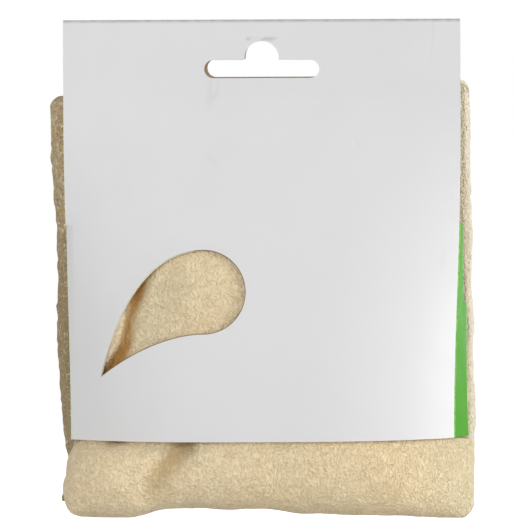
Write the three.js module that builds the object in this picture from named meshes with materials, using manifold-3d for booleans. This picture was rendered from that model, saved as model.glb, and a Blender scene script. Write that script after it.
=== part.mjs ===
// A folded chamois leather held in the band of a die-cut hang card.
// Millimetres. X runs to the right, Z runs up and the front of the card faces -Y.
// The origin is the crown of the hang slot, on the inside face of the front panel.

import * as THREE from 'three';
import { mergeVertices } from 'three/addons/utils/BufferGeometryUtils.js';
import Module from 'manifold-3d';

const wasm = await Module();
wasm.setup();

// Card board and its outline, measured down from the slot's crown
const boardThickness = 0.45;
const cardWidth = 110.5;
const headerRise = 6;
const flapDrop = 15.5;
const bendMargin = 0.5;
const flangeHeight = 22;
const strapTopDrop = 73;
const cardDrop = 110.6;
const creaseRadius = 1;

// How far the leather presses the front panel out, and how it comes on
const panelCrown = 12;
const panelSwellShare = 0.75;

// Wings and straps, which close the band behind the front fold of the leather
const bandDepth = 9;
const flangeTipWidth = 0.8;
const flangeWidth = 5;
const rightLeanTopDegrees = 69;
const rightLeanBottomDegrees = 60;
const leftLeanDegrees = 90;
const lapCentre = 4;
const lapWidth = 24;
const strapCornerCut = 5;

// Hang slot: a bar with round ends and a hump above its middle
const slotWidth = 32;
const slotBarHeight = 5.1;
const slotHumpWidth = 9.5;
const slotDepth = 10.35;
const rearSlotShiftX = 0.45;
const rearSlotShiftZ = 0.25;

// Drop window in the front panel
const windowHeadRadius = 11.6;
const windowHeadX = -16.2;
const windowHeadDrop = 69.3;
const windowTipX = -44.4;
const windowTipDrop = 92.3;

// Adhesive
const glueFilm = 0.1;
const glueMargin = 3;
const slotGlueMargin = 2;

// Leather: four layers to a stack, three stacks from front to back
const layerPitch = 1.2;
const layersInStack = 4;
const cardClearance = 0.4;
const foldedGap = 0.3;
const foldEdge = 2.2;
const grooveDepth = 1.6;
const grooveWidthShare = 0.12;

// The front stack, inside the band and in the loose fold below it
const frontTopGap = 1.5;
const leftPlay = 0.3;
const rightPlay = 0.7;
const rearPlay = 1.4;
const looseLeftSpill = 3;
const looseRightSpill = 1.2;
const looseFoldShare = 0.77;
const looseRearShare = 0.66;
const looseCentreShare = 0.39;
const looseCorner = 4.5;
const looseFullnessShare = 0.6;
const crotchGap = 8.4;
const looseBottom = 14.2;
const looseSpillDrop = 1.6;
const hemDip = 3.3;
const hemShares = [0.4, 0.3, 0.27, 0.85, 0.82, 0.88, 0.45, 0.3, 0.24, 0.03, 0];

// The two stacks behind the straps
const backReach = 61.3;
const backTopDropLeft = 13;
const backTopDropRight = 9.6;
const rawEndRiseLeft = 2.4;
const rawEndRiseRight = 0.6;
const topFoldHeight = 5;
const backCrown = 1.6;
const leftReachShares = [0.997, 0.99, 0.969, 0.96, 0.964, 0.952, 0.9, 0.941];
const rightReachShares = [0.975, 0.972, 0.979, 0.976, 0.981, 0.985, 0.98, 0.978];

// Creases on the front stack: ends in X and in drop below the crown, then depth and width
const windowCreaseTopX = -34.5;
const windowCreaseTopDrop = 70;
const windowCreaseEndX = -42;
const windowCreaseEndDrop = 93;
const looseCreaseTopX = -23;
const looseCreaseTopDrop = 112;
const looseCreaseEndX = -33;
const looseCreaseEndDrop = 124;
const creaseDepth = 2.2;
const creaseWidth = 4.5;
const cheekPuff = 2.6;
const cheekX = -47;
const cheekDrop = 122;
const cheekSize = 11;

// How finely each curved stretch is divided
const panelColumns = 18;
const bendSteps = 4;
const foldSteps = 6;
const slotArcSteps = 12;
const windowCurveSteps = 24;

const bendDrop = flapDrop + bendMargin;
const wingTopDrop = strapTopDrop - flangeHeight;
const frontTopDrop = flapDrop + frontTopGap;
const crotchDrop = cardDrop + crotchGap;
const padDrop = crotchDrop + looseBottom;
const rawEndDropLeft = padDrop - rawEndRiseLeft;
const rawEndDropRight = padDrop - rawEndRiseRight;

const half = (length) => length / 2;
const mix = (from, to, share) => from + (to - from) * share;
const clamp = (value) => Math.min(1, Math.max(0, value));
const ease = (value) => clamp(value) * clamp(value) * (3 - 2 * clamp(value));
const bell = (value) => Math.exp(-value * value);
const radians = (degrees) => THREE.MathUtils.degToRad(degrees);

// Evenly spread values from one number to another, both included
function spread(from, to, steps) {
  return Array.from({ length: steps + 1 }, (unused, index) => mix(from, to, index / steps));
}

// Value of a table of shares at a place from 0 to 1 along it
function along(shares, place) {
  const position = clamp(place) * (shares.length - 1);
  const low = Math.min(Math.floor(position), shares.length - 2);
  return mix(shares[low], shares[low + 1], ease(position - low));
}

function toManifold(geometry) {
  const bare = geometry.clone();
  bare.deleteAttribute('normal');
  bare.deleteAttribute('uv');
  const merged = mergeVertices(bare);
  const vertProperties = new Float32Array(merged.attributes.position.array);
  const triVerts = new Uint32Array(merged.index.array);
  return new wasm.Manifold(new wasm.Mesh({ numProp: 3, vertProperties, triVerts }));
}

function toGeometry(solid) {
  const mesh = solid.getMesh();
  const geometry = new THREE.BufferGeometry();
  geometry.setAttribute('position', new THREE.BufferAttribute(mesh.vertProperties, mesh.numProp));
  geometry.setIndex(new THREE.BufferAttribute(mesh.triVerts, 1));
  return geometry;
}

function fromTriangles(points, triangles) {
  const geometry = new THREE.BufferGeometry();
  geometry.setAttribute('position', new THREE.Float32BufferAttribute(points.flat(), 3));
  geometry.setIndex(triangles.flat());
  return geometry;
}

// Prism of an outline drawn in X and Z, from one depth in Y to a larger one
function prism(shape, nearY, farY, curveSegments) {
  const geometry = new THREE.ExtrudeGeometry(shape, { depth: farY - nearY, bevelEnabled: false, curveSegments });
  geometry.rotateX(half(Math.PI));
  geometry.translate(0, farY, 0);
  return geometry;
}

// Front panel

// How far the panel stands out at its middle, at a height: none in the header, then a quarter
// sine that grows to the full crown at the bottom edge
function crownAt(z) {
  const rise = Math.sin(half(Math.PI) * clamp((-z - bendDrop) / (cardDrop - bendDrop)));
  return panelCrown * rise * (panelSwellShare + (1 - panelSwellShare) * rise);
}

// Half the width from crease to crease. The board keeps its length, so it draws in as it
// bows: the bow is one minus the cube of the share across, whose slope squared averages 9/5
function panelReach(z) {
  const bowLengthShare = 9 / 10;
  const flat = half(cardWidth);
  return flat - bowLengthShare * crownAt(z) * crownAt(z) / flat;
}

// Inside face of the panel in Y
function panelInside(x, z) {
  const share = Math.abs(x) / panelReach(z);
  return -crownAt(z) * (1 - share * share * share);
}

// Path of the board's middle at one height, from the panel's edge out and round to the strap
function sidePath(z, side) {
  const lower = clamp((-z - strapTopDrop) / (cardDrop - strapTopDrop));
  const rightLean = mix(rightLeanTopDegrees, rightLeanBottomDegrees, lower);
  const lean = radians(side > 0 ? rightLean : leftLeanDegrees);
  const reach = panelReach(z);
  const start = Math.atan(3 * crownAt(z) / reach);
  const lapStep = side > 0 ? 0 : boardThickness + glueFilm;
  const strapY = bandDepth + half(boardThickness) + lapStep;
  const points = [];
  const bend = (from, fromAngle, angle) => [
    from[0] + creaseRadius * (Math.sin(angle) - Math.sin(fromAngle)),
    from[1] + creaseRadius * (Math.cos(fromAngle) - Math.cos(angle)),
  ];
  const edge = [reach, -half(boardThickness)];
  for (const angle of spread(start, lean, bendSteps).slice(1)) points.push(bend(edge, start, angle));
  const crease = points[points.length - 1];
  const wing = (strapY - crease[1] - creaseRadius * (Math.cos(lean) + 1)) / Math.sin(lean);
  const taper = clamp((-z - wingTopDrop) / (strapTopDrop - wingTopDrop));
  const flange = mix(flangeTipWidth, flangeWidth, taper);
  const onWing = (length) => [crease[0] + length * Math.cos(lean), crease[1] + length * Math.sin(lean)];
  points.push(onWing(half(flange)), onWing(flange), onWing(mix(flange, wing, 1 / 2)), onWing(wing));
  const corner = onWing(wing);
  for (const angle of spread(lean, Math.PI, bendSteps + 2).slice(1)) points.push(bend(corner, lean, angle));
  const turned = points[points.length - 1];
  const end = side * lapCentre - half(lapWidth);
  points.push([mix(turned[0], end, 1 / 2), turned[1]], [end, turned[1]]);
  return points.map(([x, y]) => [side * x, y]);
}

// Where the right wing ends and its rear crease begins
function wingEndX(z) {
  return sidePath(z, 1)[bendSteps + 3][0];
}

const flangeColumns = bendSteps + 2;
const sideColumns = sidePath(-cardDrop, 1).length;
const columnCount = sideColumns + panelColumns + sideColumns;

// The whole band at one height: left strap, wing, panel, right wing and strap
function bandRow(z) {
  const reach = panelReach(z);
  const middle = spread(-reach, reach, panelColumns).map((x) => [x, panelInside(x, z) - half(boardThickness)]);
  const left = sidePath(z, -1).reverse();
  return [...left, ...middle, ...sidePath(z, 1)].map(([x, y]) => new THREE.Vector3(x, y, z));
}

// Rows of the blank from the rear flap's edge over the top fold and down to the bottom edge
function blankRows() {
  const foldRadius = half(glueFilm + boardThickness);
  const foldHeight = headerRise - half(boardThickness) - foldRadius;
  const rows = [];
  const flat = (y, z) => {
    rows.push(bandRow(-bendDrop).map((point) => new THREE.Vector3(point.x, y, z)));
  };
  for (const z of spread(-flapDrop, foldHeight, 2)) flat(glueFilm + half(boardThickness), z);
  for (const angle of spread(0, Math.PI, foldSteps).slice(1)) {
    flat(half(glueFilm) + foldRadius * Math.cos(angle), foldHeight + foldRadius * Math.sin(angle));
  }
  for (const z of spread(-bendDrop, -wingTopDrop, 5)) rows.push(bandRow(z));
  for (const z of spread(-wingTopDrop, -strapTopDrop, 3).slice(1)) rows.push(bandRow(z));
  for (const z of spread(-strapTopDrop, -cardDrop, 6).slice(1)) rows.push(bandRow(z));
  return rows;
}

// A sheet of one thickness from rows of points on its middle. The rule says which cells of
// the grid hold board, and every edge between a cell that does and one that does not is closed
function sheet(rows, thickness, holdsBoard) {
  const width = rows[0].length;
  const points = [];
  const at = (row, column) => rows[Math.min(Math.max(row, 0), rows.length - 1)][Math.min(Math.max(column, 0), width - 1)];
  const solid = (row, column) => (
    row >= 0 && column >= 0 && row < rows.length - 1 && column < width - 1 && holdsBoard(row, column)
  );
  rows.forEach((line, row) => line.forEach((point, column) => {
    const fromRow = solid(row - 1, column) || solid(row - 1, column - 1) ? row - 1 : row;
    const toRow = solid(row, column) || solid(row, column - 1) ? row + 1 : row;
    const fromColumn = solid(row, column - 1) || solid(row - 1, column - 1) ? column - 1 : column;
    const toColumn = solid(row, column) || solid(row - 1, column) ? column + 1 : column;
    const across = at(row, toColumn).clone().sub(at(row, fromColumn));
    const down = at(toRow, column).clone().sub(at(fromRow, column));
    const normal = across.cross(down).normalize().multiplyScalar(half(thickness));
    points.push(point.clone().add(normal).toArray(), point.clone().sub(normal).toArray());
  }));
  const outer = (row, column) => 2 * (row * width + column);
  const inner = (row, column) => outer(row, column) + 1;
  const triangles = [];
  const quad = (a, b, c, d) => triangles.push([a, b, c], [a, c, d]);
  for (let row = 0; row < rows.length - 1; row += 1) {
    for (let column = 0; column < width - 1; column += 1) {
      if (!solid(row, column)) continue;
      const corners = [[row, column], [row, column + 1], [row + 1, column + 1], [row + 1, column]];
      const [a, b, c, d] = corners;
      quad(outer(...a), outer(...b), outer(...c), outer(...d));
      quad(inner(...d), inner(...c), inner(...b), inner(...a));
      if (!solid(row - 1, column)) quad(outer(...b), outer(...a), inner(...a), inner(...b));
      if (!solid(row, column + 1)) quad(outer(...c), outer(...b), inner(...b), inner(...c));
      if (!solid(row + 1, column)) quad(outer(...d), outer(...c), inner(...c), inner(...d));
      if (!solid(row, column - 1)) quad(outer(...a), outer(...d), inner(...d), inner(...a));
    }
  }
  return fromTriangles(points, triangles);
}

// Hang slot outline, with its crown at the origin
function slotOutline(grow, shiftX, shiftZ) {
  const humpRadius = half(slotHumpWidth) + grow;
  const endRadius = half(slotBarHeight) + grow;
  const barZ = shiftZ - slotDepth + half(slotBarHeight);
  const humpZ = shiftZ - half(slotHumpWidth);
  const endX = half(slotWidth) - half(slotBarHeight);
  const shape = new THREE.Shape();
  shape.moveTo(shiftX - endX, barZ - endRadius);
  shape.lineTo(shiftX + endX, barZ - endRadius);
  shape.absarc(shiftX + endX, barZ, endRadius, -half(Math.PI), half(Math.PI), false);
  shape.lineTo(shiftX + humpRadius, barZ + endRadius);
  shape.lineTo(shiftX + humpRadius, humpZ);
  shape.absarc(shiftX, humpZ, humpRadius, 0, Math.PI, false);
  shape.lineTo(shiftX - humpRadius, barZ + endRadius);
  shape.lineTo(shiftX - endX, barZ + endRadius);
  shape.absarc(shiftX - endX, barZ, endRadius, half(Math.PI), 3 * half(Math.PI), false);
  return shape;
}

// Drop window: half a circle at the head and two curves that meet at the tip
function windowOutline() {
  const headZ = -windowHeadDrop;
  const tipZ = -windowTipDrop;
  const length = windowHeadX - windowTipX;
  const tipRise = headZ + windowHeadRadius - tipZ;
  const upperShares = [0.11, 0.4, 0.385];
  const lowerShares = [0.345, 0.27, 0.53];
  const shape = new THREE.Shape();
  shape.moveTo(windowTipX, tipZ);
  shape.bezierCurveTo(
    windowTipX + upperShares[0] * length, tipZ + upperShares[1] * tipRise,
    windowTipX + upperShares[2] * length, headZ + windowHeadRadius,
    windowHeadX, headZ + windowHeadRadius,
  );
  shape.absarc(windowHeadX, headZ, windowHeadRadius, half(Math.PI), -half(Math.PI), true);
  shape.bezierCurveTo(
    windowHeadX - lowerShares[0] * length, headZ - windowHeadRadius,
    windowTipX + lowerShares[1] * length, tipZ + lowerShares[2] * (headZ - windowHeadRadius - tipZ),
    windowTipX, tipZ,
  );
  return shape;
}

// Wedge taken off the upper corner at the end of each strap
function strapCorner(side) {
  const end = side * (side * lapCentre - half(lapWidth));
  const shape = new THREE.Shape();
  shape.moveTo(end - side * strapCornerCut, -strapTopDrop - strapCornerCut);
  shape.lineTo(end + side * strapCornerCut, -strapTopDrop + strapCornerCut);
  shape.lineTo(end - side * strapCornerCut, -strapTopDrop + strapCornerCut);
  return shape;
}

function makeCard() {
  const rows = blankRows();
  const firstWing = rows.findIndex((row) => row[0].z <= -wingTopDrop);
  const firstStrap = rows.findIndex((row) => row[0].z <= -strapTopDrop);
  const holdsBoard = (row, column) => {
    const outside = Math.max(sideColumns - column - 1, column - sideColumns - panelColumns);
    const spare = row >= firstStrap ? columnCount : flangeColumns;
    return outside < (row >= firstWing ? spare : 0) || outside < 0;
  };
  const rearFace = glueFilm + boardThickness;
  const overrun = boardThickness;
  const frontSlot = prism(slotOutline(0, 0, 0), -boardThickness - overrun, half(glueFilm), slotArcSteps);
  const rearSlotShape = slotOutline(0, rearSlotShiftX, rearSlotShiftZ);
  const rearSlot = prism(rearSlotShape, half(glueFilm), rearFace + overrun, slotArcSteps);
  const opening = prism(windowOutline(), -panelCrown - boardThickness - overrun, half(bandDepth), windowCurveSteps);
  let card = toManifold(sheet(rows, boardThickness, holdsBoard));
  for (const cutter of [frontSlot, rearSlot, opening]) card = card.subtract(toManifold(cutter));
  const strapBack = bandDepth + boardThickness + glueFilm + boardThickness + overrun;
  const rightY = bandDepth + boardThickness + half(glueFilm);
  card = card.subtract(toManifold(prism(strapCorner(1), bandDepth - overrun, rightY, 1)));
  card = card.subtract(toManifold(prism(strapCorner(-1), rightY, strapBack, 1)));
  return toGeometry(card);
}

// Adhesive

function makeHeaderGlue() {
  const shape = new THREE.Shape();
  const reach = half(cardWidth) - glueMargin;
  const top = headerRise - boardThickness - glueMargin;
  const bottom = -flapDrop + glueMargin / 3;
  shape.moveTo(-reach, bottom);
  shape.lineTo(reach, bottom);
  shape.lineTo(reach, top);
  shape.lineTo(-reach, top);
  shape.holes.push(slotOutline(slotGlueMargin, half(rearSlotShiftX), half(rearSlotShiftZ)));
  return prism(shape, 0, glueFilm, slotArcSteps);
}

function makeLapGlue() {
  const shape = new THREE.Shape();
  const reach = half(lapWidth) - glueMargin;
  const top = -strapTopDrop - strapCornerCut - glueMargin;
  const bottom = -cardDrop + glueMargin;
  shape.moveTo(lapCentre - reach, bottom);
  shape.lineTo(lapCentre + reach, bottom);
  shape.lineTo(lapCentre + reach, top);
  shape.lineTo(lapCentre - reach, top);
  const inside = bandDepth + boardThickness;
  return prism(shape, inside, inside + glueFilm, 1);
}

// Leather

const frontLeftReach = panelReach(-cardDrop) - leftPlay;
const frontRightReach = panelReach(-cardDrop) - rightPlay;
const frontRightRearReach = Math.min(wingEndX(-strapTopDrop), wingEndX(-cardDrop)) - rearPlay;
const looseRightReach = frontRightRearReach + looseRightSpill;
const looseFoldHeight = looseFoldShare * (padDrop - cardDrop);
const looseRearHeight = looseRearShare * (padDrop - crotchDrop);
const looseCentre = looseCentreShare * bandDepth;
const stackThickness = layerPitch * layersInStack;
const frontRear = bandDepth - cardClearance;
const secondFront = bandDepth + boardThickness + glueFilm + boardThickness + cardClearance;
const secondRear = secondFront + stackThickness;
const thirdFront = secondRear + foldedGap;
const thirdRear = thirdFront + stackThickness;

// Distance from a point to the line between two others
function distanceToLine(x, z, fromX, fromZ, toX, toZ) {
  const lengthSquared = (toX - fromX) ** 2 + (toZ - fromZ) ** 2;
  const share = clamp(((x - fromX) * (toX - fromX) + (z - fromZ) * (toZ - fromZ)) / lengthSquared);
  return Math.hypot(x - mix(fromX, toX, share), z - mix(fromZ, toZ, share));
}

// The front face of the front stack follows the panel and sinks into two creases. Below the
// card a cheek puffs out at the left
function frontFace(x, z) {
  const windowCrease = distanceToLine(
    x, z, windowCreaseTopX, -windowCreaseTopDrop, windowCreaseEndX, -windowCreaseEndDrop,
  );
  const looseCrease = distanceToLine(
    x, z, looseCreaseTopX, -looseCreaseTopDrop, looseCreaseEndX, -looseCreaseEndDrop,
  );
  const sunk = creaseDepth * (bell(windowCrease / creaseWidth) + bell(looseCrease / creaseWidth));
  const below = ease((-z - cardDrop) / half(cheekSize));
  const puff = cheekPuff * below * bell((x - cheekX) / cheekSize) * bell((z + cheekDrop) / cheekSize);
  return panelInside(x, Math.max(z, -cardDrop)) + cardClearance + sunk - puff;
}

// Lowest line of the loose fold, which rises in a shallow dip left of the middle
function hemZ(x) {
  return -padDrop + hemDip * along(hemShares, (x + backReach) / (2 * backReach));
}

const backTopZ = (x) => mix(-backTopDropLeft, -backTopDropRight, (x + backReach) / (2 * backReach));
const rawEndZ = (x) => mix(-rawEndDropLeft, -rawEndDropRight, (x + backReach) / (2 * backReach));

function backEdges(z) {
  const place = (-z - backTopDropLeft) / (rawEndDropLeft - backTopDropLeft);
  return [-backReach * along(leftReachShares, place), backReach * along(rightReachShares, place)];
}

// Stations along the fold. Each gives the outer and inner faces in Y and Z at an X, the two
// edges at the outer and inner faces, and runs from the front stack's top to the raw end
function leatherStations() {
  const stations = [];
  const pass = (z, outer, inner, edges) => stations.push({ outer: (x) => [outer(x), z], inner: () => [inner, z], edges });
  const bandEdges = (w) => [-frontLeftReach, mix(frontRightRearReach, frontRightReach, w)];
  const looseEdges = (w, sink) => [
    -frontLeftReach - looseLeftSpill * mix(1 / 2, 1, sink), mix(looseRightReach, looseRightReach - half(foldEdge), w),
  ];
  for (const z of [...spread(-frontTopDrop, -strapTopDrop, 4), ...spread(-strapTopDrop, -cardDrop, 4).slice(1)]) {
    pass(z, (x) => frontFace(x, z), frontRear, bandEdges);
  }
  const spillZ = -cardDrop - looseSpillDrop;
  pass(spillZ, (x) => frontFace(x, spillZ), frontRear, (w) => looseEdges(w, 0));
  const crotchRadius = half(secondFront - frontRear);
  const crotchY = half(secondFront + frontRear);
  const foldPlaces = spread(0, 1, 2 * foldSteps);
  for (const place of foldPlaces) {
    const angle = Math.PI * place;
    const swing = Math.cos(angle);
    const sink = Math.sin(angle);
    const outer = (x) => {
      const startZ = hemZ(x) + looseFoldHeight;
      const out = Math.abs(swing) ** looseFullnessShare;
      const down = sink ** looseFullnessShare;
      if (place <= 1 / 2) return [mix(looseCentre, frontFace(x, startZ), out), startZ - looseFoldHeight * down];
      return [mix(looseCentre, secondRear, out), hemZ(x) + looseRearHeight * (1 - down)];
    };
    const inner = () => [crotchY - crotchRadius * swing, -crotchDrop - crotchRadius * sink];
    const edges = (w) => {
      const hem = looseCorner * (1 - Math.sqrt(1 - clamp(1 - (1 - sink) * looseFoldHeight / looseCorner) ** 2));
      const [left, right] = looseEdges(w, sink);
      const [backLeft, backRight] = backEdges(-crotchDrop);
      const back = ease(2 * place - 1);
      return [mix(left, backLeft, back) + hem, mix(right, backRight, back) - half(hem)];
    };
    stations.push({ outer, inner, edges });
  }
  for (const share of spread(0, 1, 5).slice(1, -1)) {
    const z = mix(-crotchDrop, -backTopDropLeft - topFoldHeight, share);
    stations.push({ outer: () => [secondRear, z], inner: () => [secondFront, z], edges: () => backEdges(z) });
  }
  const gapRadius = half(foldedGap);
  const gapY = half(secondRear + thirdFront);
  for (const place of spread(0, 1, foldSteps)) {
    const swing = Math.cos(Math.PI * place);
    const rise = Math.sin(Math.PI * place);
    const outer = (x) => [gapY - gapRadius * swing, backTopZ(x) - topFoldHeight + gapRadius * rise];
    const inner = (x) => [mix(gapY, place < 1 / 2 ? secondFront : thirdRear, Math.abs(swing)), backTopZ(x) - topFoldHeight * (1 - rise)];
    const corner = half(looseCorner) * rise * rise;
    const edges = () => [backEdges(-backTopDropLeft)[0] + corner, backEdges(-backTopDropLeft)[1] - corner];
    stations.push({ outer, inner, edges });
  }
  for (const share of spread(0, 1, 6).slice(1)) {
    const zAt = (x) => mix(backTopZ(x) - topFoldHeight, rawEndZ(x), share);
    const bulge = (x) => backCrown * Math.sin(Math.PI * share) * (1 - (x / backReach) ** 2);
    stations.push({
      outer: (x) => [thirdFront, zAt(x)],
      inner: (x) => [thirdRear + bulge(x), zAt(x)],
      edges: () => backEdges(zAt(0)),
    });
  }
  return stations;
}

// Section of a stack as shares: across from 0 to 1, through from the inner face 0 to the
// outer face 1, and how far the point is set in from the edge in shares of the fold edge.
// The left edge is one round fold. The right edge shows a fold and two raw layers
function stackSection() {
  const outerShares = [0, 0.06, 0.11, 0.145, 0.18, 0.215, 0.25, 0.31, 0.4, 0.52, 0.66, 0.8, 0.91, 1];
  const innerShares = [1, 0.86, 0.7, 0.5, 0.3, 0.14, 0];
  const points = outerShares.map((across) => ({ across, through: 1, inset: mix(1, -1 / 2, across) }));
  const groove = grooveDepth / foldEdge;
  const gap = half(grooveWidthShare);
  const right = [
    [0.9, 0], [0.6, 0], [1 / 2 + gap, 0], [1 / 2, groove], [1 / 2 - gap, 0],
    [1 / 4 + gap, 0], [1 / 4, groove], [1 / 4 - gap, 0],
  ];
  right.forEach(([through, inset]) => points.push({ across: 1, through, inset: -inset }));
  innerShares.forEach((across) => points.push({ across, through: 0, inset: mix(1, 0, across) }));
  [0.2, 0.5, 0.8].forEach((through) => {
    points.push({ across: 0, through, inset: 1 - Math.sqrt(1 - (2 * through - 1) ** 2) });
  });
  return points;
}

function makeLeather() {
  const section = stackSection();
  const stations = leatherStations();
  const points = [];
  for (const station of stations) {
    for (const { across, through, inset } of section) {
      const [left, right] = station.edges(through);
      const x = mix(left, right, across) + inset * foldEdge;
      const [outerY, outerZ] = station.outer(x);
      const [innerY, innerZ] = station.inner(x);
      points.push([x, mix(innerY, outerY, through), mix(innerZ, outerZ, through)]);
    }
  }
  const count = section.length;
  const triangles = [];
  for (let row = 0; row < stations.length - 1; row += 1) {
    for (let index = 0; index < count; index += 1) {
      const next = (index + 1) % count;
      const [a, b] = [row * count + index, row * count + next];
      const [c, d] = [a + count, b + count];
      triangles.push([a, c, d], [a, d, b]);
    }
  }
  const cap = (row, flip) => {
    const first = row * count;
    const outline = points.slice(first, first + count).map(([x, y]) => new THREE.Vector2(x, y));
    for (const [a, b, c] of THREE.ShapeUtils.triangulateShape(outline, [])) {
      triangles.push(flip ? [first + c, first + b, first + a] : [first + a, first + b, first + c]);
    }
  };
  cap(0, false);
  cap(stations.length - 1, true);
  return fromTriangles(points, triangles);
}

// Finishes
const printedBoard = new THREE.MeshStandardMaterial({ color: 0xdedcdc, roughness: 0.55, metalness: 0 });
const driedGlue = new THREE.MeshStandardMaterial({ color: 0xd9cdb0, roughness: 0.4, metalness: 0 });
const chamois = new THREE.MeshStandardMaterial({ color: 0xdcc8a2, roughness: 0.95, metalness: 0 });

const part = new THREE.Group();

function place(name, geometry, material) {
  const mesh = new THREE.Mesh(geometry, material);
  mesh.name = name;
  part.add(mesh);
}

place('card_sleeve', makeCard(), printedBoard);
place('header_glue', makeHeaderGlue(), driedGlue);
place('lap_glue', makeLapGlue(), driedGlue);
place('chamois_leather', makeLeather(), chamois);

export default part;
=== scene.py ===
"""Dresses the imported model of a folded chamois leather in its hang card.

Laid out as an add-on and run as a script. Lengths are in metres, Z is up and the printed
front of the card faces -Y.
"""

import math

import bmesh
import bpy
import numpy as np
from mathutils import Euler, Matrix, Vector


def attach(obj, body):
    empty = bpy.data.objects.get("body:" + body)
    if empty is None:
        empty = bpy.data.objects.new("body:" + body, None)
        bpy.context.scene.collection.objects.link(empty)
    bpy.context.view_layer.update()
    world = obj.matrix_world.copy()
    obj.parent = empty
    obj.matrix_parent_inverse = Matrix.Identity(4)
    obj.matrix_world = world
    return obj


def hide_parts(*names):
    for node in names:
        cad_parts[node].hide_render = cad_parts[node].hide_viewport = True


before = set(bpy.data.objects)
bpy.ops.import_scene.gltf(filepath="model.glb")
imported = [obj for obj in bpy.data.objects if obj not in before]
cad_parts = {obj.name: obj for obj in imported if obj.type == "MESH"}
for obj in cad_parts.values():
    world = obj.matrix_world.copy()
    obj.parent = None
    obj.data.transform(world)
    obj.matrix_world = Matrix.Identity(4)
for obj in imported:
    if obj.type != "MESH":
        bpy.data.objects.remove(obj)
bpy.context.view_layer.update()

bl_info = {
    "name": "Chamois leather in a hang card",
    "version": (1, 0, 0),
    "blender": (4, 5, 0),
    "location": "3D View > Sidebar > Chamois",
    "description": "Builds a folded chamois leather, its die-cut card and a small studio",
    "category": "Add Mesh",
}

# Card board and its outline, measured down from the slot's crown
BOARD = 0.00045
CARD_WIDTH = 0.1105
HEADER_RISE = 0.006
FLAP_DROP = 0.0155
BEND_DROP = 0.016
STRAP_TOP_DROP = 0.073
WING_TOP_DROP = 0.051
CARD_DROP = 0.1106
CREASE_RADIUS = 0.001
PANEL_CROWN = 0.012
PANEL_SWELL = 0.75
BOW_LENGTH_SHARE = 0.9
BAND_DEPTH = 0.009
FLANGE_TIP = 0.0008
FLANGE = 0.0050
RIGHT_LEAN_TOP = math.radians(69)
RIGHT_LEAN_BOTTOM = math.radians(60)
LEFT_LEAN = math.radians(90)
LAP_CENTRE = 0.004
LAP_WIDTH = 0.024
STRAP_CORNER = 0.005
LEFT_TUCK = 0.001
GLUE_FILM = 0.0001

# Faces across the bends, each half of a wing and the straps, points down each stretch of the
# blank, and steps of the round cut-outs. The wings' top edge lies a small step below its row.
BEND_STEPS, WING_STEPS, STRAP_STEPS = 8, 3, 6
FLAP_ROWS, FOLD_ROWS, HEADER_ROWS, BOW_ROWS, FLANGE_ROWS, STRAP_ROWS = 9, 13, 13, 25, 16, 27
ROUND_STEPS, CURVE_STEPS = 24, 40
WING_TOP_STEP = 0.00012

# Hang slot and drop window
SLOT_WIDTH = 0.032
SLOT_BAR = 0.0051
SLOT_HUMP = 0.0095
SLOT_DEPTH = 0.01035
REAR_SLOT_SHIFT = (0.0009, 0.0004)
REAR_HUMP_BACK = 0.0006
WINDOW_HEAD = (-0.0163, -0.0697)
WINDOW_HEAD_RADIUS = 0.0116
WINDOW_TIP = (-0.0449, -0.0932)
WINDOW_UPPER_SHARES = (0.11, 0.4, 0.385)
WINDOW_LOWER_SHARES = (0.345, 0.27, 0.53)
RIM_LEAN = (0.0004, 0.0002)
RIM_LIT_FROM = 0.15

# Leather
PITCH = 0.0012
STACK_LAYERS = 4
CARD_CLEARANCE = 0.0004
FOLDED_GAP = 0.0003
FRONT_TOP = -0.017
FRONT_LEFT = -0.0526
FRONT_RIGHT = 0.0522
FRONT_RIGHT_REAR = 0.0560
LOOSE_SPILL = 0.0029
LOOSE_SPILL_SHARES = (0.36, 0.95, 1.05, 1.15, 1.25, 1.3, 1.3, 1.25, 1.1, 0.9, 0.8)
LOOSE_RIGHT = 0.0600
LOOSE_RIGHT_ROUND = 0.0006
LOOSE_HEIGHT = 0.0174
LOOSE_REAR_HEIGHT = 0.0094
LOOSE_CENTRE = 0.0035
LOOSE_CORNER = 0.0034
TOP_CORNER = (0.0016, 0.0028)
LOOSE_FULLNESS = 0.6
CROTCH = -0.119
PAD_BOTTOM = -0.1330
HEM_DIP = 0.0033
HEM_SHARES = (0.3, 0.15, 0.3, 0.89, 0.88, 0.86, 0.41, 0.31, 0.28, 0, 0)
BACK_REACH = 0.0627
BACK_TOP = (-0.0140, -0.0095)
RAW_END = (-0.1300, -0.1320)
TOP_FOLD_HEIGHT = 0.005
BACK_CROWN = 0.0016
LEFT_REACH_SHARES = (
    0.983, 0.982, 0.982, 0.969, 0.963, 0.956, 0.95, 0.959,
    0.959, 0.955, 0.946, 0.936, 0.919, 0.903, 0.942)
RIGHT_REACH_SHARES = (
    0.979, 0.979, 0.978, 0.978, 0.982, 0.984, 0.983, 0.982,
    0.987, 0.99, 0.989, 0.997, 0.988, 0.984, 0.984)
SPLAY = (0.0030, 0.0026)
FOLD_LIMIT = 0.0026
FOLD_LIMIT_RIGHT = 0.0015

# Edges of the layers: height and size of the fine nap, of the ragged and the soft waves, the
# shift of the noise from layer to layer, and how far the layers and folds stand back
EDGE_NAP, EDGE_NAP_SIZE, LAYER_SHIFT = 0.0003, 0.0016, 0.01
RAGGED, RAGGED_SIZE, RAGGED_SHIFT = 0.0005, 0.011, 0.013
SOFT, SOFT_SIZE = 0.0003, 0.009
LAYER_RECESS, FOLD_RECESS, FOLD_SLACK = 0.0007, 0.0003, 0.0002

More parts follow.
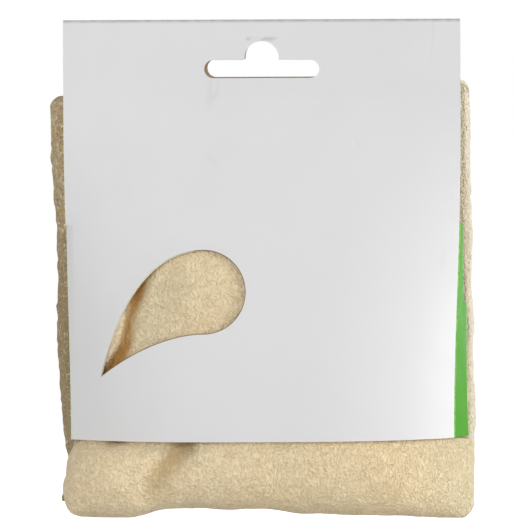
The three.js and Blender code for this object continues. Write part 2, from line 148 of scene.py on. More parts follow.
# The raw end at the back and the top of the front stack: height and size of their waves, and the
# step from layer to layer
RAW_WAVE, RAW_WAVE_SIZE, RAW_NAP_SIZE, RAW_STEP = 0.0009, 0.012, 0.002, 0.0004
TOP_WAVE, TOP_WAVE_SIZE, TOP_STEP = 0.0008, 0.01, 0.0005

# Size and seed of the three noises that swell the leather, their heights on each stretch of the
# fold, and how far the card's edge presses the loose fold in
SWELLS = ((0.0095, 31), (0.0042, 32), (0.0018, 33))
FRONT_SWELL, FRONT_FINE_SWELL = 0.00018, 0.00003
LOOSE_SWELLS = (0.00042, 0.00022, 0.00008)
TOP_SWELL = 0.00012
THIRD_SWELLS = (0.0003, 0.00014, 0.00005)
PRESSED_IN = 0.00036

# Points along each stretch of the section, for the outer and the inner face of the sheet
OUTER_COUNTS = (92, 9, 138, 7, 8, 4, 8)
INNER_COUNTS = (10, 6, 24, 4, 10, 6, 8)

# Rows of the loose fold that the creases mark, where across the pad its edges begin to take painted
# shade at the left and painted light at the right and over how much of the way, and the depths over
# which they do behind the front stack and at the back
MARKED_ROWS = 40
EDGE_FROM, EDGE_SPREAD = 0.8, 0.07
EDGE_DEPTHS = (0.001, 0.002)

# Camera frame: its height at the header, and where its middle lies in X and Z. The lamps face a
# point in the pack, and the floor has this many faces round each ring.
FRAME_HEIGHT = 0.1472
VIEW_CENTRE = (-0.00157, -0.0622)
LAMP_AIM = (0, 0, -0.06)
FLOOR_STEPS = 96
FLOOR_RINGS = (0.0004, 0.5, 1.5, 5.0)

FRONT_REAR = BAND_DEPTH - CARD_CLEARANCE
SECOND_FRONT = BAND_DEPTH + BOARD + GLUE_FILM + BOARD + CARD_CLEARANCE
STACK = PITCH * STACK_LAYERS
SECOND_REAR = SECOND_FRONT + STACK
THIRD_FRONT = SECOND_REAR + FOLDED_GAP
THIRD_REAR = THIRD_FRONT + STACK

# Random values along each side of the noise lattice, and the angle above which an edge is sharp
LATTICE = 97
SHARP_ANGLE = math.radians(50)


def mix(low, high, share):
    """Value between two others: the first plus the share of their difference."""
    return low + (high - low) * share


def ease(value):
    """Smooth step: three times the square less twice the cube, held between 0 and 1."""
    held = np.clip(value, 0, 1)
    return held * held * (3 - 2 * held)


def bell(value):
    """Bell curve: e to the minus square."""
    return np.exp(-np.square(value))


def along(shares, place):
    """Value of a table of shares at a place from 0 to 1 along it, eased between its entries."""
    position = np.clip(place, 0, 1) * (len(shares) - 1)
    low = np.clip(np.floor(position).astype(int), 0, len(shares) - 2)
    table = np.asarray(shares)
    return mix(table[low], table[low + 1], ease(position - low))


def lattice_noise(u, v, size, seed):
    """Smooth noise from -1 to 1: random values on a square lattice, eased between."""
    table = np.random.default_rng(seed).uniform(-1, 1, (LATTICE, LATTICE))
    gu, gv = u / size, v / size
    iu, iv = np.floor(gu).astype(int), np.floor(gv).astype(int)
    fu, fv = ease(gu - iu), ease(gv - iv)
    pick = lambda du, dv: table[(iu + du) % LATTICE, (iv + dv) % LATTICE]
    low = mix(pick(0, 0), pick(1, 0), fu)
    high = mix(pick(0, 1), pick(1, 1), fu)
    return mix(low, high, fv)


def place_by_line(x, z, start, end):
    """Share along the straight line between two points, and the distance from it."""
    dx, dz = end[0] - start[0], end[1] - start[1]
    share = np.clip(((x - start[0]) * dx + (z - start[1]) * dz) / (dx * dx + dz * dz), 0, 1)
    return share, np.hypot(x - start[0] - share * dx, z - start[1] - share * dz)


def ring_faces(rows, count):
    """Four-sided faces between rows of points that each close on themselves."""
    index = np.arange(rows * count).reshape(rows, count)
    onward = np.roll(index, -1, axis=1)
    corners = [index[:-1], index[1:], onward[1:], onward[:-1]]
    return np.stack(corners, axis=2).reshape(-1, 4).tolist()


def new_object(name, vertices, faces, materials, slots=None, sharp=SHARP_ANGLE):
    """Mesh object at the origin from an array of points and a list of faces."""
    mesh = bpy.data.meshes.new(name)
    mesh.from_pydata(vertices.tolist(), [], faces)
    for material in materials:
        mesh.materials.append(material)
    if slots is not None:
        mesh.polygons.foreach_set("material_index", slots)
    mesh.polygons.foreach_set("use_smooth", [True] * len(mesh.polygons))
    mesh.set_sharp_from_angle(angle=sharp)
    mesh.update()
    piece = bpy.data.objects.new(name, mesh)
    bpy.context.scene.collection.objects.link(piece)
    return piece


# Card


def crown_at(z):
    """How far the panel stands out at its middle: a quarter sine from header to bottom edge."""
    rise = np.sin(math.pi / 2 * np.clip((-z - BEND_DROP) / (CARD_DROP - BEND_DROP), 0, 1))
    return PANEL_CROWN * rise * (PANEL_SWELL + (1 - PANEL_SWELL) * rise)


def panel_reach(z):
    """Half the width from crease to crease, drawn in by the length that the bow takes up."""
    return CARD_WIDTH / 2 - BOW_LENGTH_SHARE * crown_at(z) ** 2 / (CARD_WIDTH / 2)


def left_tuck(z):
    """How far the left crease draws in: most at the wing's top, to nothing at the bottom."""
    down = (-z - WING_TOP_DROP) / (CARD_DROP - WING_TOP_DROP)
    return LEFT_TUCK * np.clip(1 - down, 0, 1) ** 2 * (down > 0.0001)


def panel_inside(x, z):
    """Inside face of the panel in Y: the crown times one less the cube of the share across."""
    return -crown_at(z) * (1 - np.abs(x / panel_reach(z)) ** 3)


def side_path(z, side):
    """Middle of the board from the panel's edge to the end of the strap, a row for each height.

    An arc turns from the panel's slope to the wing's lean, the wing runs straight back, a second
    arc turns it through to the strap, and the strap runs straight in to the lap.
    """
    z = z[:, None]
    lower = np.clip((-z - STRAP_TOP_DROP) / (CARD_DROP - STRAP_TOP_DROP), 0, 1)
    lean = mix(RIGHT_LEAN_TOP, RIGHT_LEAN_BOTTOM, lower) if side > 0 else np.full_like(z, LEFT_LEAN)
    reach = panel_reach(z)
    start = np.arctan(3 * crown_at(z) / reach)
    strap_y = BAND_DEPTH + BOARD / 2 + (0 if side > 0 else BOARD + GLUE_FILM)

    def shares(steps):
        return np.linspace(0, 1, steps + 1)[None, 1:]

    def arc(x, y, first, last):
        angle = mix(first, last, shares(BEND_STEPS))
        return (x + CREASE_RADIUS * (np.sin(angle) - np.sin(first)),
                y + CREASE_RADIUS * (np.cos(first) - np.cos(angle)))

    crease_x, crease_y = arc(reach, -BOARD / 2, start, lean)
    root_x, root_y = crease_x[:, -1:], crease_y[:, -1:]
    wing = (strap_y - root_y - CREASE_RADIUS * (np.cos(lean) + 1)) / np.sin(lean)
    taper = np.clip((-z - WING_TOP_DROP) / (STRAP_TOP_DROP - WING_TOP_DROP), 0, 1)
    flange = mix(FLANGE_TIP, FLANGE, taper)
    length = np.hstack([shares(WING_STEPS) * flange, mix(flange, wing, shares(WING_STEPS))])
    wing_x, wing_y = root_x + length * np.cos(lean), root_y + length * np.sin(lean)
    turn_x, turn_y = arc(wing_x[:, -1:], wing_y[:, -1:], lean, np.full_like(lean, math.pi))
    strap_x = mix(turn_x[:, -1:], side * LAP_CENTRE - LAP_WIDTH / 2, shares(STRAP_STEPS))
    strap_flat = np.broadcast_to(turn_y[:, -1:], strap_x.shape)
    x = np.hstack([crease_x, wing_x, turn_x, strap_x])
    return side * x, np.hstack([crease_y, wing_y, turn_y, strap_flat])


def card_middle(columns):
    """Points on the middle of the folded blank, the cells that hold board, and those at a side."""
    fold_radius = (GLUE_FILM + BOARD) / 2
    fold_z = HEADER_RISE - BOARD / 2 - fold_radius
    flap_z = np.linspace(-FLAP_DROP, fold_z, FLAP_ROWS)
    turn = np.linspace(0, math.pi, FOLD_ROWS)[1:]
    header_z = np.linspace(fold_z, -BEND_DROP, HEADER_ROWS)[1:-1]
    bow_z = np.linspace(-BEND_DROP, -WING_TOP_DROP, BOW_ROWS)
    flange_z = np.linspace(-WING_TOP_DROP, -STRAP_TOP_DROP, FLANGE_ROWS)
    flange_z[0] -= WING_TOP_STEP
    strap_z = np.linspace(-STRAP_TOP_DROP, -CARD_DROP, STRAP_ROWS)[1:]
    turn_z = fold_z + fold_radius * np.sin(turn)
    z = np.concatenate([flap_z, turn_z, header_z, bow_z, flange_z, strap_z])
    flat_y = np.concatenate([
        np.full(len(flap_z), GLUE_FILM + BOARD / 2),
        GLUE_FILM / 2 + fold_radius * np.cos(turn),
        np.full(len(header_z), -BOARD / 2),
    ])
    shape_z = z.copy()
    shape_z[:len(flat_y)] = -BEND_DROP
    across = np.linspace(-1, 1, columns + 1)[None, :]
    tuck = left_tuck(shape_z)[:, None]
    middle_x = across * (panel_reach(shape_z)[:, None] - np.where(across < 0, tuck, 0))
    middle_y = panel_inside(middle_x, shape_z[:, None]) - BOARD / 2
    right_x, right_y = side_path(shape_z, 1)
    left_x, left_y = side_path(shape_z, -1)
    x = np.hstack([(left_x + tuck)[:, ::-1], middle_x, right_x])
    y = np.hstack([left_y[:, ::-1], middle_y, right_y])
    y[:len(flat_y)] = flat_y[:, None]
    points = np.stack([x, y, np.broadcast_to(z[:, None], x.shape)], axis=2)
    side = right_x.shape[1]
    cell = np.arange(x.shape[1] - 1)
    outside = np.maximum(side - cell - 1, cell - side - columns)
    low = np.where(np.arange(len(z) - 1) >= len(flat_y), z[:-1], 0)[:, None] - 1e-6
    strap_row, wing_row = low <= -STRAP_TOP_DROP, low <= -WING_TOP_DROP
    held = (outside < 0) | (wing_row & (outside < BEND_STEPS + WING_STEPS)) | strap_row
    return points, held, np.broadcast_to(outside >= 0, held.shape)


def blank_map(points, columns):
    """Place of each grid point on the flat blank: the share across the panel times its half width,
    then the distance travelled outwards, and down the blank from the top fold."""
    step = np.linalg.norm(np.diff(points, axis=1), axis=2)
    travelled = np.hstack([np.zeros((len(points), 1)), np.cumsum(step, axis=1)])
    middle = points.shape[1] // 2
    out = travelled - travelled[:, middle, None]
    half_panel = out[:, (points.shape[1] - columns - 1) // 2 + columns, None]
    beyond = out - np.sign(out) * (half_panel - CARD_WIDTH / 2)
    across = np.where(np.abs(out) <= half_panel, out / half_panel * CARD_WIDTH / 2, beyond)
    fall = np.linalg.norm(np.diff(points[:, middle], axis=0), axis=1)
    down = np.concatenate([[0], np.cumsum(fall)])
    height = HEADER_RISE + down[np.argmax(points[:, middle, 2])] - down
    return np.stack([across, np.broadcast_to(height[:, None], across.shape)], axis=2)


def thick_sheet(points, held, thickness, face_slots, edge_slot):
    """Closed sheet from a grid of middle points: each point moved half a thickness both ways along
    the normal, and a wall along each edge between a cell that holds board and one that doesn't."""
    rows, columns = points.shape[:2]
    cells = np.zeros((rows + 1, columns + 1), bool)
    cells[1:-1, 1:-1] = held
    right = cells[1:, 1:] | cells[:-1, 1:]
    left = cells[1:, :-1] | cells[:-1, :-1]
    down = cells[1:, 1:] | cells[1:, :-1]
    up = cells[:-1, 1:] | cells[:-1, :-1]
    row, column = np.indices((rows, columns))
    after, before = np.minimum(column + right, columns - 1), np.maximum(column - left, 0)
    below, above = np.minimum(row + down, rows - 1), np.maximum(row - up, 0)
    across = points[row, after] - points[row, before]
    normal = np.cross(across, points[below, column] - points[above, column])
    normal /= np.maximum(np.linalg.norm(normal, axis=2, keepdims=True), 1e-12)
    outer = (points + normal * thickness / 2).reshape(-1, 3)
    inner = (points - normal * thickness / 2).reshape(-1, 3)
    count = rows * columns
    i, j = np.nonzero(held)
    a, b = i * columns + j, i * columns + j + 1
    c, d = b + columns, a + columns
    faces = [np.stack([a, b, c, d], 1), np.stack([d, c, b, a], 1) + count]
    slots = [face_slots[0][i, j], face_slots[1][i, j]]
    for di, dj, p, q in ((-1, 0, b, a), (0, 1, c, b), (1, 0, d, c), (0, -1, a, d)):
        is_open = ~cells[i + 1 + di, j + 1 + dj]
        p, q = p[is_open], q[is_open]
        faces.append(np.stack([p, q, q + count, p + count], 1))
        slots.append(np.full(len(p), edge_slot))
    faces, slots = np.concatenate(faces), np.concatenate(slots)
    used, index = np.unique(faces, return_inverse=True)
    vertices = np.concatenate([outer, inner])[used]
    return vertices, index.reshape(faces.shape).tolist(), slots, used % count


def arc_points(centre, radius, first, last, steps):
    """Points on an arc of a circle in X and Z, both ends included."""
    angle = np.linspace(first, last, steps + 1)
    return np.stack([centre[0] + radius * np.cos(angle), centre[1] + radius * np.sin(angle)], 1)


def cubic_points(start, first, second, end, steps):
    """Points on a cubic curve with two handles, both ends included."""
    t = np.linspace(0, 1, steps + 1)[:, None]
    p = [np.asarray(point, float) for point in (start, first, second, end)]
    shares = (1 - t) ** 3, 3 * (1 - t) ** 2 * t, 3 * (1 - t) * t * t, t ** 3
    return sum(share * point for share, point in zip(shares, p))


def slot_outline(shift, hump_back=0.0):
    """Hang slot: a bar with half-round ends and a half-round hump above its middle."""
    end_radius, hump_radius, quarter = SLOT_BAR / 2, SLOT_HUMP / 2, math.pi / 2
    bar_z = shift[1] - SLOT_DEPTH + end_radius
    end_x = SLOT_WIDTH / 2 - end_radius
    hump_x = shift[0] - hump_back
    right = arc_points((shift[0] + end_x, bar_z), end_radius, -quarter, quarter, ROUND_STEPS)
    hump = arc_points((hump_x, shift[1] - hump_radius), hump_radius, 0, math.pi, CURVE_STEPS)
    left = arc_points((shift[0] - end_x, bar_z), end_radius, quarter, 3 * quarter, ROUND_STEPS)
    foot = [(hump_x + hump_radius, bar_z + end_radius)]
    heel = [(hump_x - hump_radius, bar_z + end_radius)]
    return np.concatenate([right, foot, hump, heel, left])


def window_outline():
    """Drop window: half a circle at the head and two cubic curves that meet at the tip."""
    head, radius, tip = np.array(WINDOW_HEAD), WINDOW_HEAD_RADIUS, np.array(WINDOW_TIP)
    top, bottom = head + (0, radius), head - (0, radius)
    length, rise, fall = head[0] - tip[0], top[1] - tip[1], bottom[1] - tip[1]
    upper, lower = WINDOW_UPPER_SHARES, WINDOW_LOWER_SHARES
    leave, arrive = tip + (upper[0] * length, upper[1] * rise), (tip[0] + upper[2] * length, top[1])
    first = cubic_points(tip, leave, arrive, top, CURVE_STEPS)
    leave, arrive = bottom - (lower[0] * length, 0), tip + (lower[1] * length, lower[2] * fall)
    last = cubic_points(bottom, leave, arrive, tip, CURVE_STEPS)
    round_head = arc_points(head, radius, math.pi / 2, -math.pi / 2, 2 * ROUND_STEPS)
    return np.concatenate([first[:-1], round_head, last[1:-1]])


def cut_rims(materials, slots):
    """Cut edge of the board round the window, leaning in a little towards the back. Each point of
    the inner ring lies square to the outline. The side that faces the key lamp, at the left, takes
    the pale core finish as painted light, and the rest takes the dark kraft finish as painted
    shade."""
    outline = window_outline()
    onward = np.roll(outline, -1, axis=0) - np.roll(outline, 1, axis=0)
    onward /= np.linalg.norm(onward, axis=1, keepdims=True)
    inward = np.stack([onward[:, 1], -onward[:, 0]], axis=1)
    lit = inward[:, 0] > RIM_LIT_FROM
    inner = outline + np.where(lit, RIM_LEAN[0], RIM_LEAN[1])[:, None] * inward
    rings = [
        np.stack([ring[:, 0], panel_inside(ring[:, 0], ring[:, 1]) + depth, ring[:, 1]], axis=1)
        for ring, depth in ((outline, -BOARD), (inner, 0))
    ]
    faces = ring_faces(2, len(outline))
    # Painted light and shade: the lit side takes the pale core, the rest the dark kraft.
    slots = np.where(lit, slots[0], slots[1])
    return new_object("rims", np.concatenate(rings), faces, materials, slots, math.pi)


def join_into(piece, other):
    """Adds another object's mesh to a piece and removes that object."""
    mesh = bmesh.new()
    mesh.from_mesh(piece.data)
    mesh.from_mesh(other.data)
    mesh.to_mesh(piece.data)
    mesh.free()
    bpy.data.objects.remove(other)


def prism(name, outline, near_y, far_y, materials, slot):
    """Closed prism of an outline in X and Z between two depths in Y."""
    x, z = outline.T
    area = np.sum(x * np.roll(z, -1) - np.roll(x, -1) * z)
    outline = outline if area > 0 else outline[::-1]
    count = len(outline)
    layer = lambda y: np.stack([outline[:, 0], np.full(count, y), outline[:, 1]], 1)
    vertices = np.concatenate([layer(near_y), layer(far_y)])
    ring = np.arange(count)
    faces = ring_faces(2, count) + [ring.tolist(), (ring[::-1] + count).tolist()]
    return new_object(name, vertices, faces, materials, [slot] * len(faces))


def cut(piece, cutters):
    """Takes the cutters out of the piece with exact booleans and applies the result to its mesh."""
    for cutter in cutters:
        modifier = piece.modifiers.new("cut", "BOOLEAN")
        modifier.operation = "DIFFERENCE"
        modifier.solver = "EXACT"
        modifier.object = cutter
    depsgraph = bpy.context.evaluated_depsgraph_get()
    shaped = bpy.data.meshes.new_from_object(piece.evaluated_get(depsgraph))
    piece.modifiers.clear()
    piece.data = shaped
    for cutter in cutters:
        bpy.data.objects.remove(cutter)
    shaped.polygons.foreach_set("use_smooth", [True] * len(shaped.polygons))
    shaped.set_sharp_from_angle(angle=SHARP_ANGLE)


def make_card(sizes):
    """The die-cut card: its folded sheet, with the slot, the window and the strap corners cut out.

    The print runs round the bend of the left crease.
    """
    points, held, is_side = card_middle(sizes.panel_columns)
    print_slot, wing_slot, kraft_slot, core_slot = range(4)
    materials = [printed_face(sizes), wing_face(sizes), kraft_face(sizes), board_edge(sizes)]
    columns = held.shape[1]
    cell = np.arange(columns)
    left_bend = (cell >= (columns - sizes.panel_columns) // 2 - BEND_STEPS) & (cell < columns // 2)
    outside = np.where(is_side & ~left_bend, wing_slot, print_slot)
    inside = np.full(held.shape, kraft_slot)
    vertices, faces, slots, origin = thick_sheet(points, held, BOARD, (inside, outside), core_slot)
    card = new_object("card", vertices, faces, materials, slots)
    flat = blank_map(points, sizes.panel_columns).reshape(-1, 2)[origin]
    corners = np.empty(len(card.data.loops), int)
    card.data.loops.foreach_get("vertex_index", corners)
    card.data.uv_layers.new(name="blank").data.foreach_set("uv", flat[corners].ravel())
    rear = 2 * (GLUE_FILM + BOARD)
    lap = BAND_DEPTH + BOARD + GLUE_FILM / 2
    rear_slot = slot_outline(REAR_SLOT_SHIFT, REAR_HUMP_BACK)

    def corner(x, side):
        turns = np.array([(-side, -1), (side, 1), (-side, 1)])
        return (x, -STRAP_TOP_DROP) + STRAP_CORNER * turns

    cut(card, [
        prism(name, outline, near, far, materials, core_slot)
        for name, outline, near, far in (
            ("slot_cutter", slot_outline((0, 0)), -2 * BOARD, GLUE_FILM / 2),
            ("rear_slot_cutter", rear_slot, GLUE_FILM / 2, rear),
            ("window_cutter", window_outline(), -PANEL_CROWN - 2 * BOARD, BAND_DEPTH / 2),
            ("right_corner", corner(LAP_CENTRE - LAP_WIDTH / 2, 1), BAND_DEPTH - BOARD, lap),
            ("left_corner", corner(LAP_CENTRE + LAP_WIDTH / 2, -1), lap, lap + 3 * BOARD),
        )
    ])
    join_into(card, cut_rims(materials, (core_slot, kraft_slot)))
    return card


# Leather

# Each crease is a line of points, each with its X and Z, share of the depth and share of the
# mark, brown as part staining and part painted shade, and after them the greatest depth, the
# widths to the left and right, and the shift to the right and width of the mark. The last one is
# a roll: its depth and mark are below nought, and there the mark paints a pale highlight.
CREASES = (
    (((-0.02339, -0.05869, 0, 0), (-0.02668, -0.06059, 0, 0.2), (-0.02969, -0.06331, 0, 0.35),
      (-0.03216, -0.0663, 0.1, 0.6), (-0.03354, -0.06902, 0.6, 1), (-0.03505, -0.07256, 1, 0.95),
      (-0.03616, -0.07583, 1, 0.72), (-0.03658, -0.07856, 1, 0.7), (-0.03706, -0.08184, 1, 0.85),
      (-0.0377, -0.08456, 1, 1.05), (-0.03894, -0.08701, 1.1, 1.25), (-0.041, -0.09001, 1.1, 1.3),
      (-0.04292, -0.09246, 0.9, 1.2), (-0.04484, -0.0949, 0.5, 0.8)),
     0.0012, 0.0022, 0.0012, -0.0003, 0.0018),
    (((-0.02303, -0.10829, 1, 0.5), (-0.02358, -0.11047, 1, 0.5), (-0.02495, -0.11292, 1, 0.42),
      (-0.02769, -0.1159, 1, 0.38), (-0.02934, -0.11835, 0.95, 0.36),
      (-0.03126, -0.12106, 0.8, 0.32), (-0.03263, -0.12351, 0.6, 0.24),
      (-0.034, -0.12623, 0.3, 0.1), (-0.03483, -0.12841, 0, 0)),
     0.0019, 0.0022, 0.004, 0.0018, 0.004),
    (((-0.03517, -0.06847, 0, 0), (-0.0371, -0.07255, 0.5, -0.5), (-0.03876, -0.07664, 0.9, -0.8),
      (-0.03987, -0.08046, 1, -0.8), (-0.04125, -0.08455, 1, -0.8), (-0.04318, -0.08836, 1, -0.7),
      (-0.04483, -0.09163, 0.8, -0.5), (-0.04621, -0.09463, 0.4, -0.2)),
     -0.0009, 0.0014, 0.0014, 0, 0.0015),
)
# Sunken spots under the card's edge: place in X and Z, size across and down, depth, share of the
# mark, part staining and part painted shade
HOLLOWS = (
    (-0.04, -0.11021, 0.0024, 0.0011, 0.0013, 0.9),
    (-0.04245, -0.11075, 0.002, 0.0015, 0.0006, 0.4),
    (-0.01967, -0.11167, 0.0006, 0.0024, 0.0006, 0.55),
    (-0.02116, -0.11029, 0.0022, 0.002, 0.0008, 0.6),
    (-0.01543, -0.11005, 0.002, 0.0016, 0.0004, 0.35),
)

# Puff in the window's head, the place, size and puff of the cheek, and half the width and the
# powers at the left and right of the loose fold's front curve
WINDOW_PUFF = 0.0009
CHEEK = (-0.047, -0.122)
CHEEK_SIZE = 0.011
CHEEK_PUFF = 0.0022
LOOSE_REACH = 0.0582
LOOSE_POWERS = (8, 4.5)

# Below the card's edge: the drop over which the front swells free, the drop over which it spills
# out and how far above the edge that starts, and the shares of the loose fold by which its face
# is level with the hem and by which it is free
FREE_DROP = 0.005
SPILL_DROP, SPILL_LEAD = 0.0012, 0.0002
LEVEL_BY, FREE_BY = 0.05, 0.12


def crease_marks(x, z):
    """Depth of all the creases at points, and their mark: brown as part staining and part painted
    shade, and below nought a pale painted highlight.

    Each crease is a valley along its line: a bell curve of the distance, with its own width on
    each side. The leather puffs out in the window's head as one less the square of the distance
    from its centre.
    """
    depth, stain_and_shading = np.zeros_like(x * z), np.zeros_like(x * z)
    for line, deep, left, right, shift, spread in CREASES:
        kept = [np.full_like(depth, np.inf)] + 3 * [np.zeros_like(depth)]
        for start, end in zip(line, line[1:]):
            share, distance = place_by_line(x, z, start, end)
            cross = (x - start[0]) * (end[1] - start[1]) - (z - start[1]) * (end[0] - start[0])
            found = [distance, np.where(cross < 0, distance, -distance)]
            found += [mix(start[part], end[part], share) for part in (2, 3)]
            closer = distance < kept[0]
            kept = [np.where(closer, new, old) for new, old in zip(found, kept)]
        nearest, signed, hold, tint = kept
        valley = bell(signed / np.where(signed < 0, left, right))
        depth = depth + deep * hold * valley
        # The mark is brown as part staining and part painted shade, and below nought a pale painted
        # highlight.
        mark = tint * bell((signed - shift) / spread)
        stain_and_shading = np.where(mark < 0, stain_and_shading + mark * (1 - ease(stain_and_shading * 2.5)), np.maximum(stain_and_shading, mark))
    # Sunken spots darken with painted shade as well as staining.
    for place_x, place_z, width, height, deep, tint in HOLLOWS:
        hollow = bell((x - place_x) / width) * bell((z - place_z) / height)
        depth = depth + deep * hollow
        stain_and_shading = np.maximum(stain_and_shading, tint * hollow)
    from_head = np.hypot(x - WINDOW_HEAD[0], z - WINDOW_HEAD[1]) / WINDOW_HEAD_RADIUS
    depth = depth - WINDOW_PUFF * np.clip(1 - from_head ** 2, 0, 1)
    return depth, stain_and_shading


def front_face(x, z):
    """Front of the front stack in Y. It follows the panel and sinks into the creases. Below the
    card it swells to a fuller curve of a higher power, with a cheek puffed out at the left."""
    below = -z - CARD_DROP
    low = -crown_at(-CARD_DROP) * (1 - np.abs(x / LOOSE_REACH) ** np.where(x < 0, *LOOSE_POWERS))
    held = panel_inside(x, np.maximum(z, -CARD_DROP)) + CARD_CLEARANCE
    cheek = bell((x - CHEEK[0]) / CHEEK_SIZE) * bell((z - CHEEK[1]) / CHEEK_SIZE)
    cheek = cheek * CHEEK_PUFF * ease(below / CHEEK_SIZE * 2)
    return mix(held, np.minimum(low, held), ease(below / FREE_DROP)) + crease_marks(x, z)[0] - cheek


def hem_z(x):
    """Lowest line of the loose fold, from a table of shares of its dip."""
    return PAD_BOTTOM + HEM_DIP * along(HEM_SHARES, (x + BACK_REACH) / (2 * BACK_REACH))


def slope(ends, x):
    """Height of a line across the pad that is given at its left and right ends."""
    return mix(ends[0], ends[1], (x + BACK_REACH) / (2 * BACK_REACH))


def back_edges(z):
    """Left and right edge of the two rear stacks at a height."""
    place = (-z + BACK_TOP[0]) / (BACK_TOP[0] - RAW_END[0])
    left, right = along(LEFT_REACH_SHARES, place), along(RIGHT_REACH_SHARES, place)
    return -BACK_REACH * left, BACK_REACH * right


def splayed(edges, share):
    """Left and right edge drawn in by a share of the splay of the stacks."""
    return edges[0] + SPLAY[0] * share, edges[1] - SPLAY[1] * share


def rounded(share, height, radius):
    """How far a corner draws in at a share of a height, so that it follows a circle."""
    part = np.clip(1 - (1 - share) * height / radius, 0, 1)
    return radius * (1 - np.sqrt(1 - part ** 2))


def front_run(x, place):
    """Front stack: its face follows the panel, and its back is flat against the straps. It runs
    straight down from its top to a little below the card's edge."""
    z = mix(FRONT_TOP, -CARD_DROP - SPILL_DROP, place) + 0 * x
    return front_face(x, z), z, np.full_like(x, FRONT_REAR), z


def front_edges(place, through):
    """Edges of the front stack: held by the wings, then spilling out below the card's edge."""
    z = mix(FRONT_TOP, -CARD_DROP - SPILL_DROP, place)
    spill = ease((-z - CARD_DROP + SPILL_LEAD) / SPILL_DROP)
    left, right = loose_edges(np.zeros_like(place), through)
    held_right = mix(FRONT_RIGHT_REAR, FRONT_RIGHT, through)
    return mix(FRONT_LEFT, left, spill) + 0 * through, mix(held_right, right, spill)


def loose_run(x, place):
    """Loose fold: a full rounded arc from the front face under the hem to the second stack, and a
    small half circle at the crotch inside."""
    angle = math.pi * place + 0 * x
    out = np.abs(np.cos(angle)) ** LOOSE_FULLNESS
    down = np.sin(angle) ** LOOSE_FULLNESS
    start = hem_z(x) + LOOSE_HEIGHT
    front = place <= 0.5
    level = mix(-CARD_DROP - SPILL_DROP, start, ease(place / LEVEL_BY)) - LOOSE_HEIGHT * down
    level = np.where(front, level, start)
    face = front_face(x, np.maximum(level, start - LOOSE_HEIGHT / 2))
    outer_y = mix(LOOSE_CENTRE, np.where(front, face, SECOND_REAR), out)
    outer_z = np.where(front, level, hem_z(x) + LOOSE_REAR_HEIGHT * (1 - down))
    radius = (SECOND_FRONT - FRONT_REAR) / 2
    inner_y = (SECOND_FRONT + FRONT_REAR) / 2 - radius * np.cos(angle)
    inner_z = mix(-CARD_DROP - SPILL_DROP, CROTCH - radius * np.sin(angle), ease(place / FREE_BY))
    return outer_y, outer_z, inner_y, inner_z


def loose_edges(place, through):
    """Edges of the loose fold, rounded at its lower corners and widening towards the back."""
    hem = rounded(np.sin(math.pi * place), LOOSE_HEIGHT, LOOSE_CORNER)
    back_left, back_right = splayed(back_edges(np.full_like(place, CROTCH)), 1 - through / 2)
    back = ease(2 * place - 1)
    left = FRONT_LEFT - LOOSE_SPILL * along(LOOSE_SPILL_SHARES, 2 * place)
    right = mix(LOOSE_RIGHT, LOOSE_RIGHT - LOOSE_RIGHT_ROUND, through)
    return mix(left, back_left, back) + hem, mix(right, back_right, back) - hem / 2


def second_run(x, place):
    """Second stack: a flat slab straight up behind the straps, from the crotch to the top fold."""
    z = mix(CROTCH, BACK_TOP[0] - TOP_FOLD_HEIGHT, place) + 0 * x
    return np.full_like(x, SECOND_REAR), z, np.full_like(x, SECOND_FRONT), z


def second_edges(place, through):
    """Edges of the second stack, which draw in towards its front."""
    return splayed(back_edges(mix(CROTCH, BACK_TOP[0] - TOP_FOLD_HEIGHT, place)), 1 - through / 2)


def top_run(x, place):
    """Top fold: a half circle round the narrow gap between the two rear stacks."""
    swing, rise = np.cos(math.pi * place) + 0 * x, np.sin(math.pi * place) + 0 * x
    middle = (SECOND_REAR + THIRD_FRONT) / 2
    outer_y = middle - FOLDED_GAP / 2 * swing
    outer_z = slope(BACK_TOP, x) - TOP_FOLD_HEIGHT + FOLDED_GAP / 2 * rise
    far = np.where(place < 0.5, SECOND_FRONT, THIRD_REAR)
    inner_y = mix(middle, far, np.abs(swing))
    inner_z = slope(BACK_TOP, x) - TOP_FOLD_HEIGHT * (1 - rise)
    return outer_y, outer_z, inner_y, inner_z


def top_edges(place, through):
    """Edges of the top fold, drawn in over its crest."""
    depth = np.where(place < 0.5, 1 - through / 2, through / 2)
    left, right = splayed(back_edges(np.full_like(place, BACK_TOP[0])), depth)
    rise = np.sin(math.pi * place)
    left_corner, right_corner = (rounded(rise, TOP_FOLD_HEIGHT, radius) for radius in TOP_CORNER)
    return left + left_corner, right - right_corner


def third_run(x, place):
    """Third stack: straight down the back to the raw end, with a low crown, which is a half sine
    down the stack times one less the square of the share across."""
    z = mix(slope(BACK_TOP, x) - TOP_FOLD_HEIGHT, slope(RAW_END, x), place)
    crown = BACK_CROWN * np.sin(math.pi * place) * (1 - (x / BACK_REACH) ** 2)
    return np.full_like(x, THIRD_FRONT), z, THIRD_REAR + crown, z


def third_edges(place, through):
    """Edges of the third stack, widest at the back."""
    return splayed(back_edges(mix(BACK_TOP[0] - TOP_FOLD_HEIGHT, RAW_END[0], place)), through / 2)


# The line of the sheet across a stack: kind of route, first and last layer, and the shares
# across where it starts and ends
ROUTES = (
    ("run", 4, 4, 1, 0), ("fold", 4, 1, 0, 0), ("run", 1, 1, 0, 1), ("fold", 1, 2, 1, 1),
    ("run", 2, 2, 1, 0), ("fold", 2, 3, 0, 0), ("run", 3, 3, 0, 1),
)


def crowded(count):
    """Shares from 0 to 1, half of them in the creased stretch of the front layer."""
    return np.interp(np.linspace(0, 1, count), (0, 0.06, 0.6, 1), (0, 0.06, 0.37, 1))


